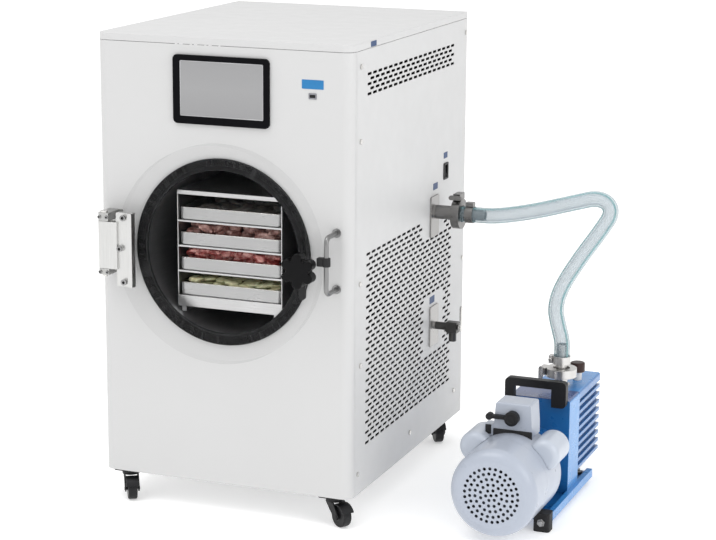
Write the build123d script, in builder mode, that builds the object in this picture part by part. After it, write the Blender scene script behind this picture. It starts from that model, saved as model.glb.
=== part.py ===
# Freeze dryer with its external rotary-vane vacuum pump.
#
# Millimetres, +Z up, the machine's front faces -Y.  The cabinet is drawn from
# its own datum: x from the cabinet's centre line, y from the front sheet's
# outer face backwards, z from the underside of the sheet-metal body.  XC, YF
# and ZB put that datum in the model frame, whose origin is at floor level in
# the middle of the whole machine's footprint box.
from build123d import *
from math import cos, sin, radians, sqrt, tan, pi
import os

os.makedirs("parts", exist_ok=True)

# ----------------------------------------------------------------- dimensions
XC, YF, ZB = -162.65, -255.5, 52.0        # cabinet datum in the model frame

W, D, H = 460.0, 570.0, 760.0            # sheet-metal body
T = 1.2                                  # sheet thickness
R_CORNER = 18.0                          # upright front corners
Z_SEAM = 747.4                           # top edge of the wall sheets
SKIRT = 12.0                             # depth of the top cover's skirt
PAN_H = 60.0                             # base pan's upturned flange

CZ = 404.0                               # height of the chamber's axis
R_CH, T_CH = 145.0, 2.0                  # chamber bore and wall
Y_CH = 430.0                             # end of the chamber's straight part
R_OUT = ((R_CH + T_CH)**2 + 38**2) / 76  # spherical end, outside and inside
R_IN = (R_CH**2 + 36**2) / 72
R_MOUTH = 158.3                          # round opening in the front sheet
R_DISC, Y_DISC0, Y_DISC1 = 184.0, -30.0, -5.0   # clear door disc

TRAY_Z = [448.0, 404.7, 361.3, 318.0]    # tray undersides, top tray first
TRAY_H, TRAY_W, TRAY_Y0, TRAY_Y1 = 22.0, 186.0, 27.0, 335.0

HINGE = (-203.0, -34.0)                  # door hinge axis (x, y)
KNOB = (158.0, 398.0)                    # latch knob axis (x, z)
STRIKE_X = 203.7                         # strike handle

PORT_Y, PORT_Z = 400.0, 418.0            # vacuum port axis on the right side
DRAIN_Y, DRAIN_Z = 404.0, 207.0          # drain valve axis
SW_Y, SW_Z = 461.0, 482.0                # power rocker

CASTER_X, CASTER_YF, CASTER_YR = 192.0, 24.0, 538.0
CASTER_H, WHEEL_R, WHEEL_W, TRAIL = 52.0, 19.0, 16.0, 20.0
CASTER_TURN = {"fl": -57.5, "fr": -31.8, "rl": -66.0, "rr": -57.5}

PX, PZ = 471.0, 37.0                     # pump and motor axis
INLET = (489.0, 350.0)                   # pump inlet axis (x, y)
TANK_TOP = 135.0
HOSE_OD, HOSE_ID = 28.0, 20.0


# ------------------------------------------------------------------- datums
def top(z):
    """Horizontal plane at height z: local (x, y)."""
    return Plane(origin=(XC, YF, ZB + z), x_dir=(1, 0, 0), z_dir=(0, 0, 1))


def front(y):
    """Upright plane facing the front at depth y: local (x, z)."""
    return Plane(origin=(XC, YF + y, ZB), x_dir=(1, 0, 0), z_dir=(0, -1, 0))


def side(x):
    """Upright plane facing right at x: local (y, z)."""
    return Plane(origin=(XC + x, YF, ZB), x_dir=(0, 1, 0), z_dir=(1, 0, 0))


def at(x, y, z):
    """Cabinet datum to model frame."""
    return (XC + x, YF + y, ZB + z)


def pierced(outer, holes):
    """One flat face: an outer outline with a hole outline at each centre."""
    inner = [h.wire().moved(Location((u, v, 0))) for h, centres in holes for u, v in centres]
    return Face(outer.wire(), inner)


def slots(y0, y1, z0, rows, pitch_y, pitch_z, width, windows):
    """Centres of staggered slots on a side sheet, leaving plain windows."""
    out = []
    for i in range(rows):
        z = z0 + i * pitch_z
        y = y0 + width / 2 + (pitch_y / 2 if i % 2 else 0)
        while y + width / 2 <= y1 + 0.1:
            if not any(a < y < b and c < z < d for a, b, c, d in windows):
                out.append((y, z))
            y += pitch_y
    return out


# ============================================================ CABINET SHEETS
# base pan: folded tray that everything stands on
with BuildPart() as base_pan:
    with BuildSketch(top(0)):
        with Locations((0, D / 2)):
            Rectangle(W - 2 * T, D - 2 * T)
    extrude(amount=PAN_H)
    fillet(base_pan.edges().filter_by(Axis.Z).group_by(Axis.Y)[0], R_CORNER - T + 0.3)
    with BuildSketch(top(2)):
        with Locations((0, D / 2)):
            Rectangle(W - 2 * T - 4, D - 2 * T - 4)
    extrude(amount=PAN_H, mode=Mode.SUBTRACT)
    with BuildSketch(top(0)):
        with GridLocations(300, 60, 2, 3):
            with Locations((0, 285)):
                SlotOverall(60, 8)
    extrude(amount=2, mode=Mode.SUBTRACT)
base_pan.part.label = "base_pan"
export_step(base_pan.part, "parts/base_pan.step")

# front panel: face sheet with rounded upright corners and joggled side flanges
with BuildPart() as front_panel:
    with BuildSketch(top(0)) as s:
        with Locations((0, 10)):
            Rectangle(W, 20)
        fillet(s.vertices().group_by(Axis.Y)[0], R_CORNER)
    extrude(amount=Z_SEAM)
    with BuildSketch(top(0)) as s:
        with Locations((0, T + 15)):
            Rectangle(W - 2 * T, 30)
        fillet(s.vertices().group_by(Axis.Y)[0], R_CORNER - T)
    extrude(amount=Z_SEAM, mode=Mode.SUBTRACT)
    with BuildSketch(top(PAN_H + 0.5)):
        with Locations((-(W / 2 - 1.5 * T), 32), (W / 2 - 1.5 * T, 32)):
            Rectangle(T, 34)
    extrude(amount=745 - PAN_H - 0.5)
    with BuildSketch(top(PAN_H + 0.5)):
        with Locations((-(W / 2 - T), 17.5), (W / 2 - T, 17.5)):
            Rectangle(2 * T, 4.9)
    extrude(amount=745 - PAN_H - 0.5)
    with BuildSketch(front(5)):
        with Locations((0, CZ)):
            Circle(R_MOUTH)
        with Locations((-0.5, 674)):
            Rectangle(150, 96)
        with Locations((STRIKE_X, 360), (STRIKE_X, 454)):
            Circle(4.4)
    extrude(amount=10, mode=Mode.SUBTRACT)
front_panel.part.label = "front_panel"
export_step(front_panel.part, "parts/front_panel.step")

# side panels: flat sheets with staggered obround vents and a top return
SCREWS_SIDE = [(31, 37), (285, 37), (525, 51), (562, 300), (562, 722), (40, 223), (36, 363), (36, 600), (36, 722)]
SLOT_W, SLOT_H = 18.5, 4.6
PW, DW = (335, 455, 372, 500), (345, 465, 158, 262)
UP = slots(66, 505, 673.5, 5, 24.4, 8.2, SLOT_W, [])
LOW = slots(66, 505, 80.5, 37, 24.4, 9.05, SLOT_W, [PW, DW])
LEFT = slots(66, 505, 81.5, 6, 24.4, 9.0, SLOT_W, [])

WALL = Rectangle(D - 20.3, Z_SEAM, mode=Mode.PRIVATE).moved(Location(((20.3 + D) / 2, Z_SEAM / 2, 0)))
with BuildSketch() as vent_outline:
    with BuildLine():
        c, r = (SLOT_W - SLOT_H) / 2, SLOT_H / 2
        Line((-c, -r), (c, -r))
        ThreePointArc((c, -r), (c + r, 0), (c, r))
        Line((c, r), (-c, r))
        ThreePointArc((-c, r), (-c - r, 0), (-c, -r))
    make_face()
VENT = vent_outline.sketch
SCREW_HOLE = Circle(2.1, mode=Mode.PRIVATE)

with BuildPart() as right_side_panel:
    with BuildSketch(side(W / 2 - T)):
        add(pierced(WALL, [(VENT, UP + LOW), (SCREW_HOLE, SCREWS_SIDE),
                           (Circle(13.2, mode=Mode.PRIVATE), [(PORT_Y, PORT_Z)]),
                           (Circle(9, mode=Mode.PRIVATE), [(DRAIN_Y, DRAIN_Z)]),
                           (Rectangle(19.4, 26.4, mode=Mode.PRIVATE), [(SW_Y, SW_Z)])]))
    extrude(amount=T)
    with BuildSketch(top(Z_SEAM - T)):
        with Locations((W / 2 - T - 6, 305)):
            Rectangle(12, 490)
    extrude(amount=T)
right_side_panel.part.label = "right_side_panel"
export_step(right_side_panel.part, "parts/right_side_panel.step")

with BuildPart() as left_side_panel:
    with BuildSketch(side(-W / 2)):
        add(pierced(WALL, [(VENT, UP + LEFT), (SCREW_HOLE, SCREWS_SIDE)]))
    extrude(amount=T)
    with BuildSketch(top(Z_SEAM - T)):
        with Locations((-(W / 2 - T - 6), 305)):
            Rectangle(12, 490)
    extrude(amount=T)
left_side_panel.part.label = "left_side_panel"
export_step(left_side_panel.part, "parts/left_side_panel.step")

# rear panel: sheet with side flanges, outlet slots and the inlet cut-out
REAR_SCREWS = [(-218, 85), (218, 85), (-218, 400), (218, 400), (-218, 700), (218, 700), (0, 30), (-150, 30), (150, 30)]
with BuildPart() as rear_panel:
    with BuildSketch(front(D)):
        with Locations((0, Z_SEAM / 2)):
            Rectangle(W - 2 * T, Z_SEAM)
        with Locations(*[(60, 110 + 15 * i) for i in range(10)]):
            SlotOverall(220, 7, mode=Mode.SUBTRACT)
        with Locations(*[(0, 640 + 15 * i) for i in range(4)]):
            SlotOverall(260, 7, mode=Mode.SUBTRACT)
        with Locations((-150, 110)):
            Rectangle(28.6, 22.6, mode=Mode.SUBTRACT)
        with Locations(*REAR_SCREWS[6:]):
            Circle(2.1, mode=Mode.SUBTRACT)
    extrude(amount=T)
    with BuildSketch(top(PAN_H + 0.5)):
        with Locations((-(W / 2 - 1.5 * T), D - T - 8), (W / 2 - 1.5 * T, D - T - 8)):
            Rectangle(T, 16)
    extrude(amount=745 - PAN_H - 0.5)
rear_panel.part.label = "rear_panel"
export_step(rear_panel.part, "parts/rear_panel.step")

# top cover: shallow cap over all four walls
with BuildPart() as top_cover:
    with BuildSketch(top(H - SKIRT)) as s:
        with Locations((0, D / 2)):
            Rectangle(W, D)
        fillet(s.vertices().group_by(Axis.Y)[0], R_CORNER)
    extrude(amount=SKIRT)
    with BuildSketch(top(H - SKIRT)) as s:
        with Locations((0, D / 2)):
            Rectangle(W - 2 * T, D - 2 * T)
        fillet(s.vertices().group_by(Axis.Y)[0], R_CORNER - T)
    extrude(amount=SKIRT - T, mode=Mode.SUBTRACT)
    fillet(top_cover.faces().sort_by(Axis.Z)[-1].edges(), 1.0)
top_cover.part.label = "top_cover"
export_step(top_cover.part, "parts/top_cover.step")

# button-head screws of the panels (one group of identical fasteners)
with BuildPart() as panel_screws:
    with BuildSketch(side(W / 2)):
        with Locations(*SCREWS_SIDE):
            Circle(4.2)
    extrude(amount=2.2)
    with BuildSketch(side(W / 2 - T)):
        with Locations(*SCREWS_SIDE):
            Circle(2.0)
    extrude(amount=T)
    with BuildSketch(side(-W / 2 - 2.2)):
        with Locations(*SCREWS_SIDE):
            Circle(4.2)
    extrude(amount=2.2)
    with BuildSketch(side(-W / 2)):
        with Locations(*SCREWS_SIDE):
            Circle(2.0)
    extrude(amount=T)
    with BuildSketch(front(D + 2.2)):
        with Locations(*REAR_SCREWS[6:]):
            Circle(4.2)
    extrude(amount=2.2)
    with BuildSketch(front(D)):
        with Locations(*REAR_SCREWS[6:]):
            Circle(2.0)
    extrude(amount=T)
panel_screws.part.label = "panel_screws"
export_step(panel_screws.part, "parts/panel_screws.step")

# =================================================================== CHAMBER
# drying chamber: drawn shell with a dished end, a flange and two cradle legs
with BuildPart() as chamber_shell:
    with BuildSketch(side(0)):
        with BuildLine():
            Polyline((T, CZ + R_CH), (T, CZ + 172), (T + 3, CZ + 172), (T + 3, CZ + R_CH + T_CH), (Y_CH, CZ + R_CH + T_CH))
            ThreePointArc((Y_CH, CZ + R_CH + T_CH), (Y_CH + 38 - R_OUT + sqrt(R_OUT**2 - 75**2), CZ + 75), (Y_CH + 38, CZ))
            Line((Y_CH + 38, CZ), (Y_CH + 36, CZ))
            ThreePointArc((Y_CH + 36, CZ), (Y_CH + 36 - R_IN + sqrt(R_IN**2 - 74**2), CZ + 74), (Y_CH, CZ + R_CH))
            Line((Y_CH, CZ + R_CH), (T, CZ + R_CH))
        make_face()
    revolve(axis=Axis(at(0, 0, CZ), (0, 1, 0)))
    with BuildSketch(side(100)):
        with Locations((PORT_Y, PORT_Z)):
            Circle(12.6)
    extrude(amount=60, mode=Mode.SUBTRACT)
    with BuildSketch(top(2)):
        with Locations((0, 102.5), (0, 382.5)):
            Rectangle(110, 3)
    extrude(amount=CZ - 2 - (R_CH + T_CH) + 14)
    with BuildSketch(front(420)):
        with Locations((0, CZ)):
            Circle(R_CH)
    extrude(amount=400, mode=Mode.SUBTRACT)
chamber_shell.part.label = "chamber_shell"
export_step(chamber_shell.part, "parts/chamber_shell.step")

# foam jacket, open below where the cradle legs and the pipes pass
with BuildPart() as insulation_jacket:
    with BuildSketch(front(Y_CH - 2)):
        with Locations((0, CZ)):
            Circle(182)
            Circle(158.5, mode=Mode.SUBTRACT)
        with Locations((0, CZ - 170)):
            Rectangle(124, 60, mode=Mode.SUBTRACT)
    extrude(amount=Y_CH - 2 - 10)
    with BuildSketch(side(120)):
        with Locations((PORT_Y, PORT_Z)):
            Circle(14)
    extrude(amount=70, mode=Mode.SUBTRACT)
insulation_jacket.part.label = "insulation_jacket"
export_step(insulation_jacket.part, "parts/insulation_jacket.step")

# evaporator hoops round the shell with straight jumpers, and the suction line
R_HOOP, R_TUBE = R_CH + T_CH + 5.2, 4.8
HOOPS = [40, 84, 128, 172, 216, 260, 304, 348]
with BuildPart() as refrigerant_tubing:
    with BuildSketch(side(0)):
        with Locations(*[(y, CZ + R_HOOP) for y in HOOPS]):
            Circle(R_TUBE)
    revolve(axis=Axis(at(0, 0, CZ), (0, 1, 0)), revolution_arc=352)
    for i in range(len(HOOPS) - 1):
        a = 60 if i % 2 else 120
        with BuildSketch(front(HOOPS[i + 1] + 1.5)):
            with Locations((R_HOOP * cos(radians(a)), CZ + R_HOOP * sin(radians(a)))):
                Circle(R_TUBE - 1.3)
        extrude(amount=HOOPS[i + 1] - HOOPS[i] + 3)
    with BuildLine():
        FilletPolyline(at(0, 216, CZ - R_HOOP), at(0, 216, 204), at(-60, 216, 204), at(-60, 216, 194), radius=[14, 8])
    with BuildSketch(top(CZ - R_HOOP)):
        with Locations((0, 216)):
            Circle(R_TUBE - 0.7)
    sweep()
refrigerant_tubing.part.label = "refrigerant_tubing"
export_step(refrigerant_tubing.part, "parts/refrigerant_tubing.step")

# door gasket round the mouth
with BuildPart() as door_seal:
    with BuildSketch(front(T)):
        with Locations((0, CZ)):
            Circle(158)
            Circle(138.5, mode=Mode.SUBTRACT)
    extrude(amount=T - Y_DISC1)
    fillet(door_seal.faces().sort_by(Axis.Y)[0].edges(), 1.2)
door_seal.part.label = "door_seal"
export_step(door_seal.part, "parts/door_seal.step")

# rack with its four heated shelves, made up as one welded unit on two runners
with BuildPart() as shelf_rack:
    with BuildSketch(front(345)):
        with Locations((0, 399)):
            Rectangle(192, 200)
            Rectangle(189, 197, mode=Mode.SUBTRACT)
        for z in TRAY_Z:
            with Locations((0, z - 1.5)):
                Rectangle(192, 3)
        with Locations((-85, 295), (85, 295)):
            Rectangle(8, 9)
    extrude(amount=320)
    with BuildSketch(front(26.5)):
        with Locations((0, 307)):
            Rectangle(192, 16)
        with Locations((0, 495.5)):
            Rectangle(192, 7)
    extrude(amount=1.5)
shelf_rack.part.label = "shelf_rack"
export_step(shelf_rack.part, "parts/shelf_rack.step")

# four loose trays
for n, z in enumerate(TRAY_Z, start=1):
    with BuildPart() as tray:
        with BuildSketch(top(z)):
            with Locations((0, (TRAY_Y0 + TRAY_Y1) / 2)):
                RectangleRounded(TRAY_W, TRAY_Y1 - TRAY_Y0, 8)
        extrude(amount=TRAY_H)
        fillet(tray.faces().sort_by(Axis.Z)[0].edges(), 3)
        with BuildSketch(top(z + 1)):
            with Locations((0, (TRAY_Y0 + TRAY_Y1) / 2)):
                RectangleRounded(TRAY_W - 2, TRAY_Y1 - TRAY_Y0 - 2, 7)
        extrude(amount=TRAY_H, mode=Mode.SUBTRACT)
    tray.part.label = "tray_%d" % n
    export_step(tray.part, "parts/tray_%d.step" % n)

# food lying in the trays
with BuildPart() as food_load:
    for z, h in zip(TRAY_Z, (15.0, 29.0, 29.0, 22.0)):
        with BuildSketch(top(z + 1)):
            with Locations((0, (TRAY_Y0 + TRAY_Y1) / 2)):
                RectangleRounded(TRAY_W - 12, TRAY_Y1 - TRAY_Y0 - 14, 12)
        extrude(amount=h)
food_load.part.label = "food_load"
export_step(food_load.part, "parts/food_load.step")

# ====================================================================== DOOR
with BuildPart() as door_disc:
    with BuildSketch(front(Y_DISC1)):
        with Locations((0, CZ)):
            Circle(R_DISC)
    extrude(amount=Y_DISC1 - Y_DISC0)
    chamfer(door_disc.edges().filter_by(GeomType.CIRCLE), 1.5)
    with BuildSketch(front(-15)):
        with Locations(KNOB):
            Circle(4.1)
    extrude(amount=20, mode=Mode.SUBTRACT)
door_disc.part.label = "door_disc"
export_step(door_disc.part, "parts/door_disc.step")

HX, HY = HINGE
with BuildPart() as hinge_bracket:
    with BuildSketch(front(0)):
        with Locations((-199, 410)):
            Rectangle(26, 106)
    extrude(amount=3)
    with BuildSketch(top(449)) as s:
        with Locations((-202, -21)):
            Rectangle(20, 42)
        fillet(s.vertices().group_by(Axis.Y)[0], 5)
    extrude(amount=14)
    with BuildSketch(top(357)) as s:
        with Locations((-202, -21)):
            Rectangle(20, 42)
        fillet(s.vertices().group_by(Axis.Y)[0], 5)
    extrude(amount=10.5)
    with BuildSketch(top(350)):
        with Locations(HINGE):
            Circle(4.05)
    extrude(amount=120, mode=Mode.SUBTRACT)
hinge_bracket.part.label = "hinge_bracket"
export_step(hinge_bracket.part, "parts/hinge_bracket.step")

with BuildPart() as hinge_strap:
    with BuildSketch(top(368)) as s:
        with Locations((-199.25, -35)):
            Rectangle(25.5, 14)
        fillet(s.vertices().group_by(Axis.X)[0], 4)
        with Locations((-182, -36)):
            Rectangle(12, 12)
    extrude(amount=80.5)
    with BuildSketch(front(Y_DISC0)):
        with Locations((-163.5, 402)):
            RectangleRounded(31, 126, 2)
    extrude(amount=8)
    with BuildSketch(front(Y_DISC0)):
        with Locations((-152, 402)):
            Rectangle(8, 126)
    extrude(amount=13)
    with BuildSketch(front(Y_DISC0 - 8)):
        with Locations((-164, 457), (-164, 347), (-171, 404)):
            Circle(5)
    extrude(amount=3)
    with BuildSketch(top(360)):
        with Locations(HINGE):
            Circle(4.05)
    extrude(amount=100, mode=Mode.SUBTRACT)
hinge_strap.part.label = "hinge_strap"
export_step(hinge_strap.part, "parts/hinge_strap.step")

with BuildPart() as hinge_pin:
    with BuildSketch(top(353)):
        with Locations(HINGE):
            Circle(4.0)
    extrude(amount=110)
    with BuildSketch(top(463)):
        with Locations(HINGE):
            Circle(6.5)
    extrude(amount=3)
hinge_pin.part.label = "hinge_pin"
export_step(hinge_pin.part, "parts/hinge_pin.step")

# star knob with its stud, and the latch arm that it turns
with BuildPart() as door_knob:
    with BuildSketch(front(-42)):
        with Locations(KNOB):
            Circle(20)
            with PolarLocations(20.5, 6, start_angle=30):
                Circle(9)
    extrude(amount=20)
    fillet(door_knob.faces().sort_by(Axis.Y)[0].edges(), 3)
    with BuildSketch(front(-38)):
        with Locations(KNOB):
            Circle(12)
    extrude(amount=4)
    with BuildSketch(front(-17)):
        with Locations(KNOB):
            Circle(4.0)
    extrude(amount=21)
door_knob.part.label = "door_knob"
export_step(door_knob.part, "parts/door_knob.step")

with BuildPart() as latch_cam:
    with BuildSketch(front(-33)):
        with Locations(KNOB):
            Circle(11)
        with Locations((KNOB[0], KNOB[1] - 23)):
            Rectangle(12, 46)
        with Locations((KNOB[0], KNOB[1] - 46)):
            Circle(6)
        with Locations(KNOB):
            Circle(4.1, mode=Mode.SUBTRACT)
    extrude(amount=5)
latch_cam.part.label = "latch_cam"
export_step(latch_cam.part, "parts/latch_cam.step")

# strike handle: bent bar bolted through the front sheet
with BuildPart() as strike_handle:
    with BuildLine():
        FilletPolyline(at(STRIKE_X, 10, 454), at(STRIKE_X, -45, 454), at(STRIKE_X, -45, 360), at(STRIKE_X, 10, 360), radius=[11, 11])
    with BuildSketch(front(10)):
        with Locations((STRIKE_X, 454)):
            Circle(4)
    sweep()
    with BuildSketch(front(0)):
        with Locations((STRIKE_X, 360), (STRIKE_X, 454)):
            Circle(7.5)
    extrude(amount=2.5)
    with BuildSketch(front(7)):
        with Locations((STRIKE_X, 360), (STRIKE_X, 454)):
            RegularPolygon(7.5, 6)
    extrude(amount=7 - T)
    with BuildSketch(top(408)):
        with Locations((STRIKE_X, -45)):
            Circle(6.5)
        with Locations((STRIKE_X - 7.5, -45)):
            Rectangle(15, 10)
    extrude(amount=13)
strike_handle.part.label = "strike_handle"
export_step(strike_handle.part, "parts/strike_handle.step")

# ============================================================== CONTROL PANEL
with BuildPart() as touch_panel:
    with BuildSketch(front(0)):
        with Locations((-0.5, 674)):
            RectangleRounded(173, 114, 8)
    extrude(amount=5)
    fillet(touch_panel.faces().sort_by(Axis.Y)[0].edges(), 1.2)
    with BuildSketch(front(-4)):
        with Locations((1.2, 676)):
            Rectangle(150, 92)
    extrude(amount=2, mode=Mode.SUBTRACT)
    with BuildSketch(front(46)):
        with Locations((-0.5, 674)):
            Rectangle(148, 94)
    extrude(amount=46)
touch_panel.part.label = "touch_panel"
export_step(touch_panel.part, "parts/touch_panel.step")

with BuildPart() as switch_housing:
    with BuildSketch(side(W / 2)):
        with Locations((SW_Y, SW_Z)):
            RectangleRounded(23, 30, 2)
    extrude(amount=2)
    with BuildSketch(side(W / 2 - 18)):
        with Locations((SW_Y, SW_Z)):
            Rectangle(19, 26)
    extrude(amount=18)
    with BuildSketch(side(W / 2 - 14)):
        with Locations((SW_Y, SW_Z)):
            Rectangle(14, 23)
    extrude(amount=20, mode=Mode.SUBTRACT)
switch_housing.part.label = "switch_housing"
export_step(switch_housing.part, "parts/switch_housing.step")

# rocker: two-way paddle on a pivot inside the housing, drawn at "off"
RK = radians(8)
with BuildPart() as switch_rocker:
    with BuildSketch(Plane(origin=at(W / 2 - 4, SW_Y + 6.7, SW_Z), x_dir=(cos(RK), 0, sin(RK)), z_dir=(0, -1, 0))):
        with BuildLine():
            Polyline((-6, 0), (-2, -9.6), (4.5, -9.6), (3.4, 0), (4.5, 9.6), (-2, 9.6), (-6, 0))
        make_face()
    extrude(amount=13.4)
switch_rocker.part.label = "switch_rocker"
export_step(switch_rocker.part, "parts/switch_rocker.step")

# power inlet socket on the rear panel
with BuildPart() as power_inlet:
    with BuildSketch(front(D + 3)):
        with Locations((-150, 110)):
            RectangleRounded(48, 30, 4)
    extrude(amount=3)
    with BuildSketch(front(D)):
        with Locations((-150, 110)):
            Rectangle(28, 22)
    extrude(amount=24)
    with BuildSketch(front(D + 3)):
        with Locations((-150, 110)):
            Rectangle(24, 16.5)
    extrude(amount=20, mode=Mode.SUBTRACT)
    with BuildSketch(front(D - 5)):
        with Locations((-157, 108), (-143, 108), (-150, 112)):
            Rectangle(2, 4)
    extrude(amount=13)
power_inlet.part.label = "power_inlet"
export_step(power_inlet.part, "parts/power_inlet.step")

# ============================================================== REFRIGERATION
CPX, CPY = -60.0, 216.0
with BuildPart() as compressor:
    with BuildSketch(Plane(origin=at(CPX, CPY, 0), x_dir=(1, 0, 0), z_dir=(0, -1, 0))):
        with BuildLine():
            Polyline((0, 22), (60, 22))
            ThreePointArc((60, 22), (71, 28), (75, 40))
            Polyline((75, 40), (75, 92), (79, 92), (79, 97), (75, 97), (75, 145))
            ThreePointArc((75, 145), (52, 178), (0, 190))
            Line((0, 190), (0, 22))
        make_face()
    revolve(axis=Axis(at(CPX, CPY, 0), (0, 0, 1)))
    with BuildSketch(top(14)):
        with Locations((CPX, CPY)):
            RectangleRounded(180, 120, 12)
    extrude(amount=8)
    with BuildSketch(top(2)):
        with Locations((CPX, CPY)):
            with GridLocations(150, 90, 2, 2):
                Circle(13)
    extrude(amount=12)
    with BuildSketch(top(185)):
        with Locations((CPX, CPY)):
            Circle(7)
    extrude(amount=9)
compressor.part.label = "compressor"
export_step(compressor.part, "parts/compressor.step")

with BuildPart() as condenser:
    with BuildSketch(side(168)):
        with Locations((210, 112)):
            Rectangle(220, 204)
    extrude(amount=40)
    with BuildSketch(front(315)):
        with Locations(*[(188, 14 + 7 * i) for i in range(28)]):
            Rectangle(41, 3.5)
    extrude(amount=210, mode=Mode.SUBTRACT)
condenser.part.label = "condenser"
export_step(condenser.part, "parts/condenser.step")

FY, FZ = 210.0, 112.0
with BuildPart() as fan_housing:
    with BuildSketch(side(138)):
        with Locations((FY, FZ)):
            Rectangle(210, 204)
            Circle(92, mode=Mode.SUBTRACT)
    extrude(amount=30)
    with BuildSketch(side(118)):
        with Locations((FY, FZ)):
            Circle(28)
    extrude(amount=30)
    with BuildSketch(side(138)):
        with Locations((FY, FZ)):
            Rectangle(12, 200)
            Rectangle(200, 12)
    extrude(amount=4)
    with BuildSketch(side(140)):
        with Locations((FY, FZ)):
            Circle(4.2)
    extrude(amount=8, mode=Mode.SUBTRACT)
fan_housing.part.label = "fan_housing"
export_step(fan_housing.part, "parts/fan_housing.step")

with BuildPart() as fan_blades:
    with BuildSketch(side(150)):
        with Locations((FY, FZ)):
            Circle(24)
    extrude(amount=14)
    for k in range(5):
        a = radians(72 * k)
        with BuildSketch(Plane(origin=at(157, FY + 22 * cos(a), FZ + 22 * sin(a)), x_dir=(cos(radians(35)), -sin(a) * sin(radians(35)), cos(a) * sin(radians(35))), z_dir=(0, cos(a), sin(a)))):
            Rectangle(14, 1.6)
        extrude(amount=64)
    with BuildSketch(side(143)):
        with Locations((FY, FZ)):
            Circle(4.0)
    extrude(amount=8)
fan_blades.part.label = "fan_blades"
export_step(fan_blades.part, "parts/fan_blades.step")

# ====================================================== VACUUM PORT AND HOSE
X_KF = 277.0                             # face where port and nipple meet
with BuildPart() as vacuum_port:
    with BuildSketch(side(W / 2)):
        with Locations((PORT_Y, PORT_Z - 8)):
            RectangleRounded(42, 74, 4)
    extrude(amount=3)
    with BuildSketch(side(136)):
        with Locations((PORT_Y, PORT_Z)):
            Circle(12.5)
    extrude(amount=X_KF - 136)
    with BuildSketch(side(X_KF - 4)):
        with Locations((PORT_Y, PORT_Z)):
            Circle(20)
    extrude(amount=4)
    with BuildSketch(side(130)):
        with Locations((PORT_Y, PORT_Z)):
            Circle(11)
    extrude(amount=140, mode=Mode.SUBTRACT)
vacuum_port.part.label = "vacuum_port"
export_step(vacuum_port.part, "parts/vacuum_port.step")

Z_KF = TANK_TOP + 26.0                   # face where pump inlet and nipple meet
IX, IY = INLET
with BuildPart() as hose_nipples:
    with BuildSketch(side(X_KF)):
        with Locations((PORT_Y, PORT_Z)):
            Circle(20)
    extrude(amount=4)
    with BuildSketch(side(X_KF + 4)):
        with Locations((PORT_Y, PORT_Z)):
            Circle(9.8)
    extrude(amount=46)
    with BuildSketch(side(X_KF)):
        with Locations((PORT_Y, PORT_Z)):
            Circle(7.8)
    extrude(amount=50, mode=Mode.SUBTRACT)
    with BuildSketch(top(Z_KF)):
        with Locations(INLET):
            Circle(20)
    extrude(amount=4)
    with BuildSketch(top(Z_KF + 4)):
        with Locations(INLET):
            Circle(9.8)
    extrude(amount=46)
    with BuildSketch(top(Z_KF)):
        with Locations(INLET):
            Circle(7.8)
    extrude(amount=50, mode=Mode.SUBTRACT)
hose_nipples.part.label = "hose_nipples"
export_step(hose_nipples.part, "parts/hose_nipples.step")

# hinged clamps that pull each flange pair together, with their wing screws
with BuildPart() as kf_clamps:
    with BuildSketch(Plane(origin=at(X_KF, PORT_Y, PORT_Z), x_dir=(1, 0, 0), z_dir=(0, -1, 0))):
        with BuildLine():
            Polyline((-7.5, 15), (-4.8, 15), (-4.8, 20.6), (4.8, 20.6), (4.8, 15), (7.5, 15), (7.5, 27), (-7.5, 27), (-7.5, 15))
        make_face()
    revolve(axis=Axis(at(X_KF, PORT_Y, PORT_Z), (1, 0, 0)))
    with BuildSketch(top(PORT_Z + 26)):
        with Locations((X_KF, PORT_Y)):
            Rectangle(13, 26)
    extrude(amount=11)
    with BuildSketch(front(PORT_Y - 13)):
        with Locations((X_KF, PORT_Z + 31.5)):
            Circle(3)
    extrude(amount=9)
    with BuildSketch(front(PORT_Y - 18)):
        with Locations((X_KF, PORT_Z + 31.5)):
            SlotOverall(24, 8)
    extrude(amount=4)
    with BuildSketch(Plane(origin=at(IX, IY, Z_KF), x_dir=(1, 0, 0), z_dir=(0, -1, 0))):
        with BuildLine():
            Polyline((15, -7.5), (15, -4.8), (20.6, -4.8), (20.6, 4.8), (15, 4.8), (15, 7.5), (27, 7.5), (27, -7.5), (15, -7.5))
        make_face()
    revolve(axis=Axis(at(IX, IY, Z_KF), (0, 0, 1)))
    with BuildSketch(top(Z_KF - 6.5)):
        with Locations((IX - 31.5, IY)):
            Rectangle(11, 26)
    extrude(amount=13)
    with BuildSketch(front(IY - 13)):
        with Locations((IX - 31.5, Z_KF)):
            Circle(3)
    extrude(amount=9)
    with BuildSketch(front(IY - 18)):
        with Locations((IX - 31.5, Z_KF)):
            SlotOverall(24, 8, rotation=90)
    extrude(amount=4)
kf_clamps.part.label = "kf_clamps"
export_step(kf_clamps.part, "parts/kf_clamps.step")

# hose: straight runs joined by tangent arcs, from the port to the pump inlet
X_HOSE = X_KF + 12.0
Z_HOSE = Z_KF + 12.0
ROUTE = [
    (X_HOSE, PORT_Y, PORT_Z),
    (348.0, 400.0, 418.5),
    (415.0, 401.0, 432.0),
    (486.0, 400.0, 453.0),
    (538.0, 397.0, 468.5),
    (563.0, 392.0, 447.0),
    (541.0, 389.0, 409.0),
    (507.0, 382.0, 359.0),
    (477.0, 373.0, 306.0),
    (470.0, 364.0, 270.0),
    (480.0, 356.0, 240.0),
    (IX, IY, 217.0),
    (IX, IY, Z_HOSE),
]


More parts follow.
